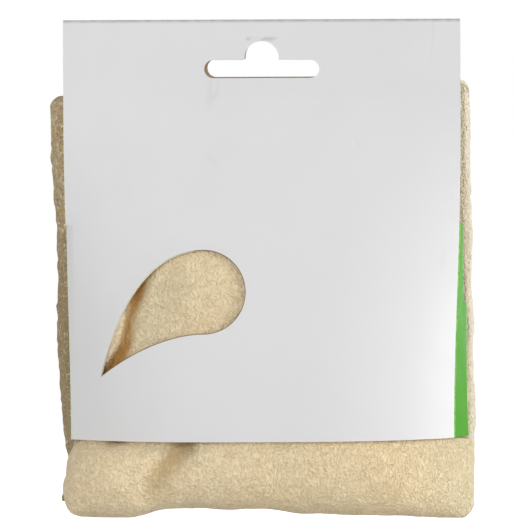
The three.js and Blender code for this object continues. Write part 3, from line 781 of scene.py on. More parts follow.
def section_side(counts, sign):
    """One face of the sheet across a stack, as columns along its middle line.

    The line runs left along layer 4, round the big fold, right along layer 1, round the right
    fold, left along layer 2, round the small fold and right along layer 3. Each column holds its
    share across, the two layers it lies between, the share of the turn, how far it bulges out
    of the fold, and the parts of its normal across and through the stack.
    """
    columns = []
    for (kind, first, last, begin, end), count in zip(ROUTES, counts):
        blank = np.zeros(count)
        if kind == "run":
            share = mix(begin, end, crowded(count) if first == 1 else np.linspace(0, 1, count))
            parts = share, first, last, 0, 0, 0, sign * (end - begin)
        else:
            angle = math.pi * np.linspace(0, 1, count + 2)[1:-1]
            bulge = (2 * begin - 1) * np.sin(angle)
            inside = -1 if first == 2 else 1
            lead = 1 if first == 1 else -1
            parts = (begin, first, last, (1 - np.cos(angle)) / 2, bulge,
                     sign * inside * bulge, sign * lead * np.cos(angle))
        columns.append(np.stack([part + blank for part in parts]))
    return np.concatenate(columns, axis=1)


def row_places():
    """Each stretch of the fold, with the shares along it where the section is set down."""
    def spread(*stops):
        pieces = [np.linspace(low, high, count)[:-1] for low, high, count in stops]
        return np.concatenate([*pieces, [stops[-1][1]]])

    front = spread((0, 0.4, 17), (0.4, 0.83, 46), (0.83, 0.975, 10), (0.975, 1, 6))
    return (
        (front_run, front_edges, front),
        (loose_run, loose_edges, spread((0, 0.5, 44), (0.5, 1, 26))[1:]),
        (second_run, second_edges, spread((0, 1, 30))[1:]),
        (top_run, top_edges, spread((0, 1, 15))[1:]),
        (third_run, third_edges, spread((0, 1, 92))[1:]),
    )


def place_section(run, edges, place, walk, section, sheet):
    """Points of the section at places along one stretch.

    The line's place through the stack is the level of its layer, and its place across is the
    stack's edge less the fold's own radius. The face lies half a thickness off the line.
    """
    share, first, last, turn, bulge, normal_x, normal_w = section
    left, right = edges(place, np.full_like(share, 0.5)[None, :])
    outer_y, outer_z, inner_y, inner_z = run(mix(left, right, share), place)
    stack = np.hypot(outer_y - inner_y, outer_z - inner_z)

    def through_stack():
        skin = sheet / 2 / stack
        levels = (mix(1 - skin, skin, (layer - 1) / (STACK_LAYERS - 1)) for layer in (first, last))
        return mix(*levels, turn)

    spacing = (stack - sheet) / (STACK_LAYERS - 1)
    big = np.minimum(1.5 * spacing, FOLD_LIMIT)
    small = np.minimum(0.5 * spacing, FOLD_LIMIT_RIGHT)
    radius = np.where(np.abs(first - last) == 3, big, small)
    within = (first == 2) | (first == 3)
    walk_all, layer = walk + 0 * share, LAYER_SHIFT * first
    fine = EDGE_NAP * lattice_noise(walk_all, layer, EDGE_NAP_SIZE, 3)
    ragged = RAGGED * (1 + lattice_noise(walk_all, RAGGED_SHIFT * first, RAGGED_SIZE, 5)) + fine
    recess = np.where(first == 3, LAYER_RECESS, FOLD_RECESS)
    recess = recess + ragged * np.where(first >= 3, 1.3, 0.7)
    soft = SOFT * (1 + lattice_noise(walk_all, 0 * share, SOFT_SIZE, 8)) + fine
    left, right = edges(place, through_stack())
    left = left + sheet / 2 + np.where(within, sheet + FOLD_SLACK + small, big) + soft
    right = right - sheet / 2 - recess - np.where(first < 3, small, 0)
    x = mix(left, right, share) + bulge * radius + normal_x * sheet / 2
    outer_y, outer_z, inner_y, inner_z = run(x, place)
    away_y, away_z = outer_y - inner_y, outer_z - inner_z
    stack = np.hypot(away_y, away_z)
    away_y, away_z = away_y / stack, away_z / stack
    outer_swell, inner_swell = swells(run, x, walk, place)
    through, push = through_stack(), normal_w * sheet / 2
    rise = mix(-inner_swell, outer_swell, through) + push
    y = mix(inner_y, outer_y, through) + away_y * rise
    z = mix(inner_z, outer_z, through) + away_z * rise
    if run is third_run:
        ragged_end = RAW_WAVE * lattice_noise(x, layer, RAW_WAVE_SIZE, 21)
        ragged_end += EDGE_NAP * lattice_noise(x, layer, RAW_NAP_SIZE, 22)
        z = z + ease(place * 8 - 7) * (ragged_end + RAW_STEP * (first - 2))
    if run is front_run:
        wave = TOP_WAVE * lattice_noise(x, layer, TOP_WAVE_SIZE, 23)
        z = z + ease(1 - place * 8) * (wave - TOP_STEP * np.abs(first - 2))
    return np.stack([x, y, z], axis=2)


def swells(run, x, walk, place):
    """Swell of the outer and inner faces of the pad: three sizes of noise, let out where the
    leather is free and only inwards where the card holds it."""
    noises = [lattice_noise(x, walk + 0 * x, size, seed) for size, seed in SWELLS]
    broad, middle, fine = noises
    swell = lambda heights: sum(height * noise for height, noise in zip(heights, noises))
    outer = inner = np.zeros_like(broad)
    if run is front_run:
        outer = -FRONT_SWELL * (2 + broad + middle) - FRONT_FINE_SWELL * (1 + fine)
    elif run is loose_run:
        free = ease(place / FREE_BY)
        outer = free * swell(LOOSE_SWELLS) - PRESSED_IN * (1 - free)
    elif run is third_run:
        inner = swell(THIRD_SWELLS)
    elif run is top_run:
        inner = TOP_SWELL * (middle + fine)
    return outer, inner


def make_leather(sizes):
    """The folded sheet as one closed mesh: its layered section carried along the folding line."""
    outer_side = section_side(OUTER_COUNTS, 1)
    inner_side = section_side(INNER_COUNTS, -1)
    section = np.concatenate([outer_side, inner_side[:, ::-1]], axis=1)
    rows, walked = [], 0.0
    for run, edges, places in row_places():
        places = places[:, None]
        line_y, line_z = run(np.zeros_like(places), places)[:2]
        steps = [np.diff(part, axis=0, prepend=part[:1]) for part in (line_y, line_z)]
        walk = walked + np.cumsum(np.hypot(*steps), axis=0)
        walked = walk[-1, 0]
        rows.append(place_section(run, edges, places, walk, section, sizes.sheet_thickness))
    grid = np.concatenate(rows)
    height, count = grid.shape[:2]
    faces = ring_faces(height, count)
    cut_edge = np.isin(np.arange(count), (outer_side.shape[1] - 1, count - 1))
    slots = np.broadcast_to(cut_edge, (height - 1, count)).ravel()
    caps = section_cap(outer_side, inner_side, count)
    faces += caps.tolist() + (caps[:, ::-1] + (height - 1) * count).tolist()
    slots = np.concatenate([slots, np.ones(2 * len(caps), bool)]).astype(int)
    materials = [leather_finish(sizes), leather_cut(sizes)]
    leather = new_object("leather", grid.reshape(-1, 3), faces, materials, slots)
    x, y, z = np.moveaxis(grid, 2, 0)
    front_face_columns = (section[1] == 1) & (section[2] == 1) & (section[6] > 0.5)
    marked = len(rows[0]) + MARKED_ROWS
    # Mark of the creases and sunken spots: part staining, part painted shade, and below nought a
    # painted highlight.
    stain_and_shading = np.zeros((height, count))
    stain_and_shading[:marked] = crease_marks(x[:marked], z[:marked])[1] * front_face_columns
    # Mask of the pad's sides: below nought painted shade at the left, above nought painted light at
    # the right.
    across = np.clip(x / BACK_REACH, -1, 1)
    between = ease((y - FRONT_REAR) / EDGE_DEPTHS[0]) * ease((THIRD_REAR - y) / EDGE_DEPTHS[1])
    edge = np.sign(across) * ease((np.abs(across) - EDGE_FROM) / EDGE_SPREAD) * between
    for name, values in (("stain_and_shading", stain_and_shading), ("edge", edge)):
        layer = leather.data.attributes.new(name, "FLOAT", "POINT")
        layer.data.foreach_set("value", values.ravel())
    return leather


def section_cap(outer_side, inner_side, count):
    """Triangles that close the section at a raw end, between its two faces.

    Both faces pass the same layers, so a column of one is joined to the column of the other that
    is as far along the line.
    """
    def progress(side):
        order = side[1] * 10 + side[2]
        turns = np.cumsum(np.diff(order, prepend=order[0]) != 0)
        step = np.hypot(np.diff(side[0]), np.diff(side[3]) * 0.02)
        within = np.concatenate([[0], np.cumsum(step)])
        first = np.searchsorted(turns, turns, side="left")
        last = np.searchsorted(turns, turns, side="right") - 1
        span = np.maximum(within[last] - within[first], 1e-9)
        return turns + 0.98 * (within - within[first]) / span

    p, q = progress(outer_side), progress(inner_side)
    outer_index, inner_index = np.arange(len(p)), count - 1 - np.arange(len(q))
    facing_q = np.clip(np.searchsorted(q, p[1:], side="right") - 1, 0, len(q) - 1)
    facing_p = np.clip(np.searchsorted(p, q[1:], side="left") - 1, 0, len(p) - 1)
    return np.concatenate([
        np.stack([outer_index[:-1], outer_index[1:], inner_index[facing_q]], 1),
        np.stack([inner_index[1:], inner_index[:-1], outer_index[facing_p]], 1),
    ])


# Materials


class Value:
    """A socket's value in a node tree, with the nodes that can follow it."""

    def __init__(self, socket):
        self.socket, self.tree = socket, socket.id_data

    def then(self, kind, inputs, output=0, **settings):
        """Value that a new node puts out."""
        return Value(add_node(self.tree, kind, inputs, **settings).outputs[output])

    def sum(self, operation, *others):
        """Result of one sum on numbers."""
        return self.then("ShaderNodeMath", dict(enumerate((self, *others))), operation=operation)

    def __add__(self, other):
        return self.sum("ADD", other)

    def __sub__(self, other):
        return self.sum("SUBTRACT", other)

    def __mul__(self, other):
        return self.sum("MULTIPLY", other)

    def away(self, centre):
        """Distance from a number."""
        return (self - centre).sum("ABSOLUTE")

    def ramp(self, low, high, to_low=0.0, to_high=1.0):
        """Eased from one range to another, held at both ends."""
        inputs = {"Value": self, 1: low, 2: high, 3: to_low, 4: to_high}
        return self.then("ShaderNodeMapRange", inputs, interpolation_type="SMOOTHSTEP")

    def ridge(self, sharpness):
        """Thin lines where a noise passes its middle: one less the doubled distance, to a power."""
        return (self.away(0.5) * -2.0 + 1.0).sum("POWER", sharpness)

    def billow(self, reach):
        """Rounded clumps with thin valleys: the distance of a noise from its middle, eased up."""
        return self.away(0.5).ramp(0.0, reach)

    def band(self, centre, width):
        """Mask that is one on a line at a place and falls to nothing at a width to each side."""
        return self.away(centre).ramp(width, 0.0)

    def blend(self, first, second):
        """Mix of two colours, with this as the share of the second."""
        whole = [part if isinstance(part, Value) else (*part, 1) for part in (first, second)]
        return self.then("ShaderNodeMix", dict(zip((0, 6, 7), (self, *whole))), 2, data_type="RGBA")

    def bump(self, distance):
        """Normal of a height, at a scale in metres."""
        return self.then("ShaderNodeBump", {"Height": self, "Distance": distance})

    def axis(self, index):
        """Part of the coordinates along one axis."""
        return self.then("ShaderNodeSeparateXYZ", {0: self}, index)

    def moved(self, operation, *others):
        """Result of one sum on coordinates."""
        inputs = dict(enumerate((self, *others)))
        return self.then("ShaderNodeVectorMath", inputs, operation=operation)

    def stretched(self, *shares):
        """Coordinates multiplied along each axis."""
        return self.moved("MULTIPLY", shares)

    def noise(self, scale, detail=2.0, rough=0.5, output=0):
        """Noise on the coordinates at a scale, in turns to the metre."""
        inputs = {"Vector": self, "Scale": scale, "Detail": detail, "Roughness": rough}
        return self.then("ShaderNodeTexNoise", inputs, output)

    def bent(self, scale, length):
        """Coordinates bent by broad noise, so that straight strands curl."""
        centred = self.noise(scale, 1.0, output="Color").moved("SUBTRACT", (0.5, 0.5, 0.5))
        return centred.moved("MULTIPLY_ADD", (length, length, length), self)


def set_inputs(node, inputs):
    """Sets plain values on a node's inputs and links the others."""
    for key, value in inputs.items():
        if isinstance(value, Value):
            node.id_data.links.new(value.socket, node.inputs[key])
        else:
            node.inputs[key].default_value = value


def add_node(tree, kind, inputs, **settings):
    """Node of a kind with its settings and inputs."""
    node = tree.nodes.new(kind)
    for key, value in settings.items():
        setattr(node, key, value)
    set_inputs(node, inputs)
    return node


def read(tree, kind, output, **settings):
    """Value that a node without inputs puts out."""
    return Value(add_node(tree, kind, {}, **settings).outputs[output])


def read_layer(tree, name):
    """Value that is stored on the points of the mesh under a name."""
    return read(tree, "ShaderNodeAttribute", "Fac", attribute_name=name)


def shade(material, **inputs):
    """Sets or links inputs of a material's Principled shader, and returns the material."""
    names = {key: key.replace("_", " ").title().replace("Ior", "IOR") for key in inputs}
    shader = material.node_tree.nodes["Principled BSDF"]
    set_inputs(shader, {names[key]: value for key, value in inputs.items()})
    return material


def new_material(name, **constants):
    """Material with a Principled shader whose plain inputs are set, and its Object coordinates."""
    material = bpy.data.materials.new(name)
    material.use_nodes = True
    shade(material, **constants)
    return material, read(material.node_tree, "ShaderNodeTexCoord", "Object")


def use_group(place, size, build, *given):
    """Values that a shared node group puts out for coordinates and a size, by name.

    The group is made on first use by a function that takes both as values and returns its outputs.
    """
    group = bpy.data.node_groups.get(build.__name__)
    if group is None:
        group = bpy.data.node_groups.new(build.__name__, "ShaderNodeTree")
        for name, kind in (("Vector", "NodeSocketVector"), ("Size", "NodeSocketFloat")):
            group.interface.new_socket(name, in_out="INPUT", socket_type=kind)
        entry = group.nodes.new("NodeGroupInput").outputs
        made = build(Value(entry["Vector"]), Value(entry["Size"]), *given)
        for name, value in made.items():
            kind = "NodeSocketColor" if value.socket.type == "RGBA" else "NodeSocketFloat"
            group.interface.new_socket(name, in_out="OUTPUT", socket_type=kind)
        add_node(group, "NodeGroupOutput", made)
    node = add_node(place.tree, "ShaderNodeGroup", {}, node_tree=group)
    set_inputs(node, {"Vector": place, "Size": size})
    return {socket.name: Value(socket) for socket in node.outputs}


def paper_fibres(place, size):
    """Group for all paper surfaces: pressed fibres as a fleck mask, soft mottling and a height."""
    curled = place.bent(300.0, 0.002)
    lengthwise = curled.stretched(1, 1, 5).noise(size).ridge(12.0)
    crosswise = curled.stretched(5, 1, 1).noise(size).ridge(12.0)
    strands = lengthwise.sum("MAXIMUM", crosswise)
    mottle = place.noise(size * 0.2, 4.0, 0.6)
    return {"Flecks": strands, "Mottle": mottle, "Height": strands * 0.4 + mottle}


def blank_place(tree):
    """Place on the flat blank: distance from its middle line, and height, both in metres."""
    flat = read(tree, "ShaderNodeUVMap", 0, uv_map="blank")
    return flat.axis(0).sum("ABSOLUTE"), flat.axis(1)


def printed_face(sizes):
    """Clay-coated print face: white, with handling marks, a top fold greyed as painted shade, and
    pale green creases that are part worn and part painted highlight.
    """
    material, place = new_material("printed_face", coat_weight=0.12, coat_roughness=0.3)
    fibres = use_group(place, 900.0, paper_fibres)
    out, height = blank_place(place.tree)
    colour = place.noise(45.0, 3.0).ramp(0.35, 0.7).blend(sizes.print_colour, sizes.print_shade)
    scuffs = place.stretched(1, 1, 0.35).bent(60.0, 0.02).noise(70.0, 1.0).ridge(60.0)
    rare = place.noise(30.0).ramp(0.58, 0.72)
    colour = (scuffs * rare * 0.3).blend(colour, (0.5, 0.5, 0.5))
    patchy = place.noise(400.0, 3.0).ramp(0.4, 0.6, 0.5, 1.0)
    # Painted shade: the rounded top fold turns grey.
    fold = height.band(HEADER_RISE, 0.0012) * (patchy * 0.4 + 0.4)
    colour = fold.blend(colour, (0.3, 0.3, 0.3))
    worn = height.band(0.0006, 0.001) * out.ramp(0.0048, 0.0036)
    worn = worn * place.noise(610.0).ramp(0.4, 0.6, 0.05, 0.45)
    colour = worn.blend(colour, (0.36, 0.36, 0.37))
    # Pale crease line: part worn board, part painted highlight.
    crease = out.band(CARD_WIDTH / 2, 0.0005) * patchy * 0.6
    colour = crease.blend(colour, (0.72, 0.85, 0.62))
    relief = fibres["Height"] * 0.012 + place.noise(38.0)
    return shade(material, base_color=colour, normal=relief.bump(0.00045),
                 roughness=fibres["Mottle"].ramp(0.3, 0.7, 0.36, 0.46))


def wing_face(sizes):
    """Green print on the wings: even ink, pale along the creases as part worn ink and part painted
    highlight, lightly rubbed.
    """
    material, place = new_material("wing_face", specular_ior_level=0.07)
    fibres = use_group(place, 900.0, paper_fibres)
    out = blank_place(place.tree)[0]
    colour = place.noise(120.0, 3.0).ramp(0.3, 0.7).blend(sizes.wing_colour, sizes.wing_shade)
    patchy = place.noise(900.0, 3.0).ramp(0.35, 0.6, 0.3, 1.0)
    # Pale ink along the crease: part worn, part painted highlight.
    near = out.ramp(CARD_WIDTH / 2 + 0.0009, CARD_WIDTH / 2 + 0.0001)
    colour = (near * patchy * 0.55).blend(colour, (0.5, 0.74, 0.3))
    colour = (fibres["Flecks"].ramp(0.6, 1.0) * 0.12).blend(colour, (0.6, 0.7, 0.5))
    return shade(material, base_color=colour, normal=fibres["Height"].bump(0.00001),
                 roughness=fibres["Mottle"].ramp(0.3, 0.7, 0.36, 0.48))


def kraft_face(sizes):
    """Uncoated kraft inside of the board: brown pulp with light and dark fibres, its browns
    darkened as painted shade for the slot and the window's rim.
    """
    material, place = new_material("kraft_face", roughness=0.88)
    fibres = use_group(place, 1500.0, paper_fibres)
    colour = fibres["Mottle"].ramp(0.3, 0.7).blend(sizes.kraft_and_shade_colour, sizes.pale_kraft_and_shade)
    colour = (fibres["Flecks"] * 0.35).blend(colour, (0.62, 0.47, 0.31))
    specks = place.noise(2600.0, 1.0).ramp(0.68, 0.76)
    colour = (specks * 0.6).blend(colour, (0.1, 0.06, 0.035))
    return shade(material, base_color=colour, normal=fibres["Height"].bump(0.00004))


def board_edge(sizes):
    """Cut edge of the board: pale pulp, torn a little by the die."""
    material, place = new_material("board_edge", roughness=0.9)
    fibres = use_group(place, 3200.0, paper_fibres)
    colour = fibres["Mottle"].ramp(0.3, 0.7).blend(sizes.core_colour, sizes.core_shade)
    colour = (fibres["Flecks"] * 0.3).blend(colour, (0.3, 0.24, 0.17))
    return shade(material, base_color=colour, normal=fibres["Height"].bump(0.00006))


def napped_fibres(place, size):
    """Group for the nap of the leather: clumped, with curled strands.

    Puts out a soft relief, a height with its felt, a mask of the low places between clumps for
    painted shade, a mask of long dark strands and a broad mottling.
    """
    sized = place.then("ShaderNodeVectorMath", {0: place, "Scale": size}, operation="SCALE")
    upright = sized.bent(260.0, 0.0045).bent(900.0, 0.0005)
    turn = {"Vector": upright, "Angle": 1.1}
    slanted = upright.then("ShaderNodeVectorRotate", turn, rotation_type="Y_AXIS")
    choose = sized.noise(140.0, 1.0).ramp(0.4, 0.6)
    lies = (lie.stretched(1, 1, 0.5).noise(1750.0, 0.5) for lie in (upright, slanted))
    strands = choose.then("ShaderNodeMix", dict(zip((0, 2, 3), (choose, *lies))))
    clumps = sized.bent(900.0, 0.0011).stretched(1, 1, 0.65).noise(900.0).billow(0.13)
    relief = clumps * 0.3 + strands * 1.1
    height = sized.noise(3200.0, 1.0, 0.6) * 0.5 + relief
    long = sized.bent(160.0, 0.009).stretched(1, 1, 0.4).noise(520.0, 1.0).ridge(26.0)
    return {
        "Relief": relief, "Height": height, "Hollow shade": height.ramp(1.09, 0.67),
        "Strands": long * sized.noise(260.0).ramp(0.55, 0.72),
        "Mottle": sized.noise(75.0, 3.0, 0.55),
    }


def leather_base(place, size, sizes):
    """Group for both finishes of the leather: its nap, and a straw colour in paler and cooler
    patches, paler towards the left as painted light, darkened with painted shade along the left
    edges, more so lower down, and paler with painted light along the right."""
    nap = use_group(place, size, napped_fibres)
    across = place.axis(0)
    # Painted light: besides the random pale patches, the pale share rises towards the left of the
    # pad.
    pale = nap.pop("Mottle").ramp(0.25, 0.75) + across.ramp(0.05, -0.05, -0.5, 0.7)
    pale = pale.sum("MAXIMUM", 0.0).sum("MINIMUM", 1.0)
    colour = pale.blend(sizes.leather_colour, sizes.pale_tone_and_left_light)
    cool = place.noise(48.0).ramp(0.52, 0.75) + across.ramp(0.035, 0.06, 0.0, 1.35)
    colour = (cool * 0.48).blend(colour, sizes.leather_cool)
    edge = read_layer(place.tree, "edge")
    patchy = place.noise(260.0, 3.0, 0.6).ramp(0.25, 0.65, 0.6, 1.0)
    matted = place.noise(1100.0, 3.0, 0.65).ramp(0.36, 0.6, 1.0, 0.5)
    # Painted shade: the left edges of the pad darken, more so lower down.
    handled = edge.ramp(0.0, -1.0) * patchy * matted * place.axis(2).ramp(-0.03, -0.085, 1.0, 2.0)
    colour = handled.sum("MINIMUM", 1.0).blend(colour, sizes.left_edge_shade)
    # Painted light: the right edges of the pad turn paler.
    lamplit = edge.ramp(0.0, 1.0) * patchy * 0.7
    return {"Colour": lamplit.blend(colour, sizes.right_edge_light), **nap}


def leather_finish(sizes):
    """Oil-tanned nap: straw with paler and greener patches, darker between the clumps as painted
    shade and paler on their tips as painted highlight, brown in the creases and under the card's
    edge as part staining and part painted shade, pale on the roll as painted highlight, and
    streaked with a few dark strands."""
    material, place = new_material(
        "leather_finish", roughness=0.94, specular_ior_level=0.25,
        sheen_weight=0.22, sheen_roughness=0.55, sheen_tint=(1.0, 0.93, 0.8, 1))
    nap = use_group(place, 1.0, leather_base, sizes)
    stain_and_shading, edge = (read_layer(place.tree, name) for name in ("stain_and_shading", "edge"))
    streaks = place.bent(230.0, 0.003).stretched(1, 1, 0.3).noise(1000.0, 3.0, 0.6)
    streaked_stain_and_shading = stain_and_shading * (streaks * 1.3 + 0.3)
    # Brown of the creases and sunken spots: part dirt and staining, part painted shade.
    colour = (streaked_stain_and_shading.ramp(0.0, 0.4) * 0.7).blend(nap["Colour"], sizes.crease_dirt_and_shading)
    colour = streaked_stain_and_shading.ramp(0.2, 0.9).blend(colour, sizes.crease_stain_and_shading)
    # Painted highlight: the roll turns pale.
    colour = stain_and_shading.ramp(0.0, -0.6).blend(colour, (1.0, 0.83, 0.54))
    # Painted shade between the clumps of nap, strong at the left edge, faint at the right edge and
    # on the roll.
    hollow_shade = nap["Hollow shade"] * edge.ramp(-1.0, 1.0, 0.68, 0.02) * stain_and_shading.ramp(-0.5, 0.0, 0.45, 1.0)
    colour = hollow_shade.blend(colour, sizes.hollow_shade_colour)
    # Painted highlight on the tips of the nap.
    tips = nap["Height"].ramp(1.05, 1.3) * streaked_stain_and_shading.ramp(0.0, 0.5, 0.55, 0.08)
    colour = tips.blend(colour, sizes.tip_highlight_colour)
    colour = (nap["Strands"] * 0.25).blend(colour, (0.4, 0.27, 0.13))
    return shade(material, base_color=colour, normal=nap["Relief"].bump(0.00056))


def leather_cut(sizes):
    """Knife-cut edge of the leather: raw fibre bundles, a little yellower than the nap, darker
    between the clumps as painted shade, with the same painted light and shade at the pad's sides.
    """
    material, place = new_material(
        "leather_cut", roughness=0.96, specular_ior_level=0.2,
        sheen_weight=0.1, sheen_roughness=0.6)
    nap = use_group(place, 1.6, leather_base, sizes)
    raw = {0: 0.3, 6: nap["Colour"], 7: (0.95, 0.83, 0.6, 1)}
    colour = place.then("ShaderNodeMix", raw, 2, data_type="RGBA")
    # Painted shade between the clumps of fibre.
    colour = (nap["Hollow shade"] * 0.7).blend(colour, sizes.hollow_shade_colour)
    return shade(material, base_color=colour, normal=nap["Height"].bump(0.00025))


def glue_finish(sizes):
    """Dried adhesive film: amber, streaked by the roller, with small bubbles."""
    material, place = new_material("glue_finish", coat_weight=0.2, coat_roughness=0.25)
    streaks = place.stretched(1, 1, 0.08).noise(700.0, 3.0)
    cells = place.then("ShaderNodeTexVoronoi", {"Vector": place, "Scale": 900.0}, "Distance")
    bubbles = cells.ramp(0.22, 0.1)
    colour = streaks.ramp(0.3, 0.7).blend(sizes.glue_colour, sizes.glue_shade)
    colour = (bubbles * 0.3).blend(colour, (0.85, 0.8, 0.68))
    return shade(material, base_color=colour, normal=(bubbles * 0.6 + streaks).bump(0.00003),
                 roughness=streaks.ramp(0.3, 0.7, 0.25, 0.45))


# Stage


def seen_straight(tree):
    """Mask that is one for what the camera sees, also in a gloss or through a clear piece."""
    path = add_node(tree, "ShaderNodeLightPath", {}).outputs
    kinds = ("Camera", "Glossy", "Transmission")
    camera, glossy, clear = (Value(path["Is %s Ray" % kind]) for kind in kinds)
    return camera.sum("MAXIMUM", glossy).sum("MAXIMUM", clear)


def make_floor(sizes):
    """Round pale floor, a fan of quads about its middle, white to the camera but for the shadow."""
    angle = np.linspace(0, 2 * math.pi, FLOOR_STEPS, endpoint=False)
    rings = np.array(FLOOR_RINGS)[:, None]
    x, y = rings * np.cos(angle), rings * np.sin(angle)
    grid = np.stack([x, y, np.full_like(x, sizes.floor_height)], axis=2)
    faces = ring_faces(*x.shape)
    material, place = new_material("floor_paper", roughness=0.9, emission_color=(1, 1, 1, 1))
    darker = [0.97 * part for part in sizes.floor_colour]
    colour = use_group(place, 300.0, paper_fibres)["Mottle"].blend(sizes.floor_colour, darker)
    tree = material.node_tree
    shade(material, base_color=colour, emission_strength=seen_straight(tree) * sizes.floor_lift)
    under = read(tree, "ShaderNodeNewGeometry", "Backfacing")
    clear = read(tree, "ShaderNodeBsdfTransparent", 0)
    paper = Value(tree.nodes["Principled BSDF"].outputs[0])
    both = under.then("ShaderNodeMixShader", {0: under, 1: paper, 2: clear})
    set_inputs(tree.nodes["Material Output"], {"Surface": both})
    new_object("floor", grid.reshape(-1, 3), faces, [material])


def make_world(sizes):
    """Even white surroundings: full white to the camera and a plain level as light."""
    world = bpy.data.worlds.new("surroundings")
    bpy.context.scene.world = world
    world.use_nodes = True
    tree = world.node_tree
    tree.nodes.clear()
    seen = seen_straight(tree)
    level = seen.then("ShaderNodeMix", {0: seen, 2: sizes.surround_level, 3: 1.0})
    back = level.then("ShaderNodeBackground", {"Color": (1, 1, 1, 1), "Strength": level})
    add_node(tree, "ShaderNodeOutputWorld", {"Surface": back})


def make_lamp(name, place, size, power):
    """Soft square lamp at a place, turned to face the pack."""
    data = bpy.data.lights.new(name, "AREA")
    data.shape, data.size, data.energy = "SQUARE", size, power
    lamp = bpy.data.objects.new(name, data)
    lamp.location = place
    lamp.rotation_euler = (Vector(LAMP_AIM) - Vector(place)).to_track_quat("-Z", "Y").to_euler()
    bpy.context.scene.collection.objects.link(lamp)


def make_camera(sizes):
    """Camera square on to the card, with the photograph's frame and slight roll."""
    data = bpy.data.cameras.new("camera")
    data.sensor_width = 36
    data.lens = data.sensor_width * sizes.camera_distance / FRAME_HEIGHT
    camera = bpy.data.objects.new("camera", data)
    camera.location = (VIEW_CENTRE[0], -sizes.camera_distance, VIEW_CENTRE[1])
    camera.rotation_euler = Euler((math.pi / 2, sizes.camera_roll, 0), "YXZ")
    bpy.context.scene.collection.objects.link(camera)
    bpy.context.scene.camera = camera


def colour(name, description, default):
    """Colour among a piece's settings."""
    return bpy.props.FloatVectorProperty(
        name=name, description=description, subtype="COLOR", default=default)


def number(name, description, default, unit="NONE", subtype="NONE"):
    """Number among a piece's settings."""
    return bpy.props.FloatProperty(
        name=name, description=description, default=default, unit=unit, subtype=subtype)


class CardSettings(bpy.types.PropertyGroup):
    """Sizes and colours of the card."""

    panel_columns: bpy.props.IntProperty(
        name="Panel columns", description="Columns of faces across the front panel",
        default=72, min=12)
    print_colour: colour("Print colour", "White of the coated face", (0.80, 0.795, 0.80))
    print_shade: colour("Print shade", "Greyer white of handled patches", (0.785, 0.785, 0.785))
    wing_colour: colour("Wing colour", "Green of the side wings", (0.069, 0.352, 0.021))
    wing_shade: colour("Wing shade", "Yellower green in patches", (0.087, 0.362, 0.024))
    # Both kraft browns are darkened as painted shade for the slot and the window's rim.
    kraft_and_shade_colour: colour("Kraft colour and shade", "Brown of the uncoated inside", (0.25, 0.16, 0.093))
    pale_kraft_and_shade: colour("Pale kraft and shade", "Paler brown of the uncoated inside", (0.33, 0.225, 0.138))
    # This pale pulp also stands as painted light on the lit side of the window's rim.
    core_colour: colour("Core colour", "Pale pulp of the cut edge", (0.93, 0.88, 0.79))
    core_shade: colour("Core shade", "Browner pulp of the cut edge", (0.82, 0.76, 0.65))
    glue_colour: colour("Glue colour", "Amber of the dried adhesive", (0.69, 0.61, 0.44))
    glue_shade: colour("Glue shade", "Darker streaks of the adhesive", (0.58, 0.47, 0.29))


class LeatherSettings(bpy.types.PropertyGroup):
    """Sizes and colours of the leather."""

    sheet_thickness: number("Sheet thickness", "Thickness of one layer", 0.00105, "LENGTH")
    flat_width: number("Flat width", "Width of the sheet unfolded", 0.35, "LENGTH")
    flat_length: number("Flat length", "Length of the sheet unfolded", 0.48, "LENGTH")
    leather_colour: colour("Leather colour", "Main straw tone of the nap", (0.98, 0.785, 0.49))
    # Also stands as painted light towards the left of the pad.
    pale_tone_and_left_light: colour("Pale patches and left light", "Paler tone of the nap", (1.0, 0.82, 0.535))
    leather_cool: colour("Cool patches", "Greener tone of the nap", (0.81, 0.72, 0.49))
    # Painted shade between the clumps of nap.
    hollow_shade_colour: colour("Hollow shade", "Tone between the clumps of nap", (0.58, 0.385, 0.145))
    # Painted highlight on the tips of the nap.
    tip_highlight_colour: colour("Tip highlight", "Tone of the fibre tips", (1.0, 0.87, 0.64))
    # Painted shade on the left edges of the pad.
    left_edge_shade: colour("Left edge shade", "Tone of the handled folds at the left", (0.3, 0.23, 0.137))
    # Painted light on the right edges of the pad.
    right_edge_light: colour("Right edge light", "Tone of the faded edges at the right", (0.92, 0.87, 0.74))
    # Part dirt, part painted shade at the sides of the creases.
    crease_dirt_and_shading: colour("Crease dirt and shade", "Olive straw at the sides of the creases", (0.66, 0.5, 0.27))
    # Part staining, part painted shade in the depth of the creases.
    crease_stain_and_shading: colour("Crease stain", "Brown in the depth of the creases", (0.5, 0.24, 0.055))


class StageSettings(bpy.types.PropertyGroup):
    """Camera, lamps and floor."""

    camera_distance: number("Camera distance", "From the lens to the header", 0.58, "LENGTH")
    camera_roll: number(
        "Camera roll", "Turn about the line of sight", math.radians(0.25), subtype="ANGLE")
    floor_height: number("Floor height", "Height of the floor under the pack", -0.25, "LENGTH")
    floor_colour: colour("Floor colour", "Pale grey of the floor", (0.6, 0.6, 0.6))
    floor_lift: number("Floor lift", "White added to the floor where the camera sees it", 0.75)
    surround_level: number("Surround level", "Strength of the even light", 0.36)
    key_power: number("Key power", "Power of the lamp at the right", 5.3, "POWER")
    front_power: number("Front power", "Power of the broad lamp in front", 8.5, "POWER")
    rear_power: number("Rear power", "Power of the broad lamp behind", 8.0, "POWER")


class PACK_OT_stage(bpy.types.Operator):
    """Makes the camera, the lamps, the surroundings and the floor"""

    bl_idname = "pack.stage"
    bl_label = "Stage"

    def execute(self, context):
        sizes = context.scene.pack_stage
        make_camera(sizes)
        make_floor(sizes)
        make_world(sizes)
        make_lamp("key", (0.87, -0.235, 0.1), 0.5, sizes.key_power)
        make_lamp("front", (-0.62, -1.2, 0.2), 1.2, sizes.front_power)
        make_lamp("rear", (0.3, 1.3, 0.3), 1.2, sizes.rear_power)
        return {"FINISHED"}


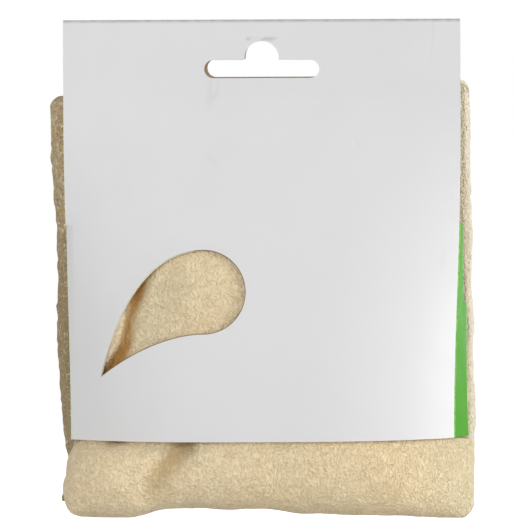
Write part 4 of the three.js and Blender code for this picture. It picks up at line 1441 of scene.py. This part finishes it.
class PACK_OT_card(bpy.types.Operator):
    """Makes the die-cut card and finishes the glue that closes it"""

    bl_idname = "pack.card"
    bl_label = "Card"

    def execute(self, context):
        sizes = context.scene.pack_card
        card = make_card(sizes)
        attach(card, "card")
        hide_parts("card_sleeve")
        finish = glue_finish(sizes)
        for name in ("header_glue", "lap_glue"):
            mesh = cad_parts[name].data
            mesh.materials.clear()
            mesh.materials.append(finish)
        return {"FINISHED"}


class PACK_OT_leather(bpy.types.Operator):
    """Makes the folded sheet of leather"""

    bl_idname = "pack.leather"
    bl_label = "Leather"

    def execute(self, context):
        sizes = context.scene.pack_leather
        leather = make_leather(sizes)
        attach(leather, "leather")
        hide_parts("chamois_leather")
        return {"FINISHED"}


class PACK_PT_panel(bpy.types.Panel):
    """Lists the pieces and their settings"""

    bl_idname = "PACK_PT_panel"
    bl_label = "Chamois pack"
    bl_space_type = "VIEW_3D"
    bl_region_type = "UI"
    bl_category = "Chamois"

    def draw(self, context):
        scene = context.scene
        for part in ("stage", "card", "leather"):
            box = self.layout.box()
            settings = getattr(scene, "pack_" + part)
            for name in settings.__annotations__:
                box.prop(settings, name)
            box.operator("pack." + part)


CLASSES = (
    CardSettings, LeatherSettings, StageSettings,
    PACK_OT_stage, PACK_OT_card, PACK_OT_leather, PACK_PT_panel,
)


def register():
    """Adds the classes and their settings."""
    for item in CLASSES:
        bpy.utils.register_class(item)
    bpy.types.Scene.pack_card = bpy.props.PointerProperty(type=CardSettings)
    bpy.types.Scene.pack_leather = bpy.props.PointerProperty(type=LeatherSettings)
    bpy.types.Scene.pack_stage = bpy.props.PointerProperty(type=StageSettings)


def unregister():
    """Removes the settings and the classes."""
    for name in ("pack_card", "pack_leather", "pack_stage"):
        delattr(bpy.types.Scene, name)
    for item in reversed(CLASSES):
        bpy.utils.unregister_class(item)


def main():
    """Registers the add-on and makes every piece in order."""
    register()
    bpy.context.scene.view_settings.view_transform = "Standard"
    for operator in (bpy.ops.pack.stage, bpy.ops.pack.card, bpy.ops.pack.leather):
        operator()


if __name__ == "__main__":
    main()
